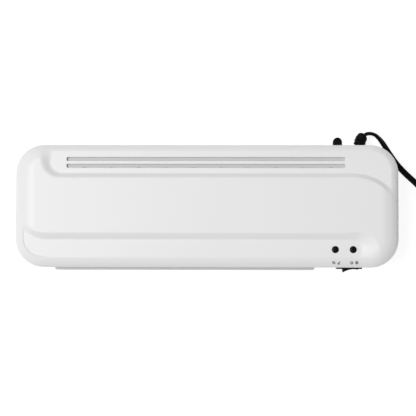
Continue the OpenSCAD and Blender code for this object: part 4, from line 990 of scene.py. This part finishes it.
def make_marks():
    """Four small generic signs in front of the lamps: heat, ready, power and mains."""
    ink = Solid()
    y0, w = -51.6, 0.68

    def line(points, steps=6):
        out = []
        for a, b in zip(points, points[1:]):
            out += [(a[0] + (b[0] - a[0]) * k / steps, a[1] + (b[1] - a[1]) * k / steps)
                    for k in range(steps)]
        return out + [points[-1]]

    for k in range(3):
        cx, wave = 114.4 + 0.95 * k, 6.28
        ribbon(ink, [(cx + 0.22 * math.sin(t * wave), y0 - 1.15 + 2.3 * t) for t in np.linspace(0, 1, 14)],
               w * 0.85)
    ribbon(ink, line([(118.9, y0), (119.7, y0 - 1.0), (121.0, y0 + 1.0)]), w)
    ribbon(ink, line([(118.8, y0 - 1.3), (121.1, y0 - 1.3)]), w * 0.8)
    ribbon(ink, arc(131.6, y0 - 0.15, 1.05, 125, 415, 30), w)
    ribbon(ink, line([(131.6, y0 + 0.1), (131.6, y0 + 1.3)]), w)
    ribbon(ink, arc(136.2, y0, 1.2, 0, 360, 36), w * 0.8)
    ribbon(ink, line([(136.5, y0 + 0.9), (135.8, y0 - 0.05), (136.6, y0 + 0.05), (135.9, y0 - 0.9)]),
           w * 0.8)
    build("lamp_signs", ink, "casing", "white_shell", material="ink", even=False, closed=False)


def make_springs():
    z0, z1, mid_r, wire, turns = 46.7, 52.95, 2.0, 0.35, 4
    springs = Solid()
    n, sides, span, flat = 40 * turns, 10, z1 - z0 - 2 * wire, 0.12
    for cx in (104.25, -145.25):
        rings = []
        for i in range(n + 1):
            t = i / n
            # the end turns lie flat
            u = np.clip((t - flat) / 0.76, 0, 1)
            a = 2 * math.pi * turns * t
            z = z0 + wire + span * u * u * (3 - 2 * u) * 0.25 + span * u * 0.75
            ring = []
            for k in range(sides):
                b = 2 * math.pi * k / sides
                r = mid_r + wire * math.cos(b)
                ring.append((cx + r * math.cos(a), r * math.sin(a), z + wire * math.sin(b)))
            rings.append(ring[::-1])
        springs.loft(rings)
    piece = build("pressure_spring_coils", springs, "casing", "spring_steel", ("pressure_springs",), 50,
                  even=False)
    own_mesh(piece)


def dress_cad_nodes():
    """Every CAD piece gets its procedural finish; the vent baffle, both side frames and the motor bracket,
    where they stay, also get softened edges.
    """
    slots = {p["node"]: p["material_slot"] for p in frame["record"]["subparts"]}
    soft_edges = {"vent_baffle": 0.2, "left_side_frame": 0.15, "right_side_frame": 0.15,
                  "motor_bracket": 0.15}
    for name, item in frame["nodes"].items():
        mat = MATERIALS[slots[name]]
        if not item.material_slots:
            item.data.materials.append(mat)
        for s in item.material_slots:
            s.material = mat
        if not item.hide_render and name in soft_edges:
            item.modifiers.new("join", "WELD").merge_threshold = 1e-6
            bevel = item.modifiers.new("edges", "BEVEL")
            bevel.width, bevel.segments, bevel.limit_method = soft_edges[name] * MM, 2, "ANGLE"
            bevel.angle_limit = math.radians(50)


MATERIALS = make_materials()
make_camera()
make_cord()
make_studio()
make_lid()
make_base()
make_trays()
make_switch()
make_lever()
make_lamps()
make_feet()
make_marks()
make_springs()
dress_cad_nodes()
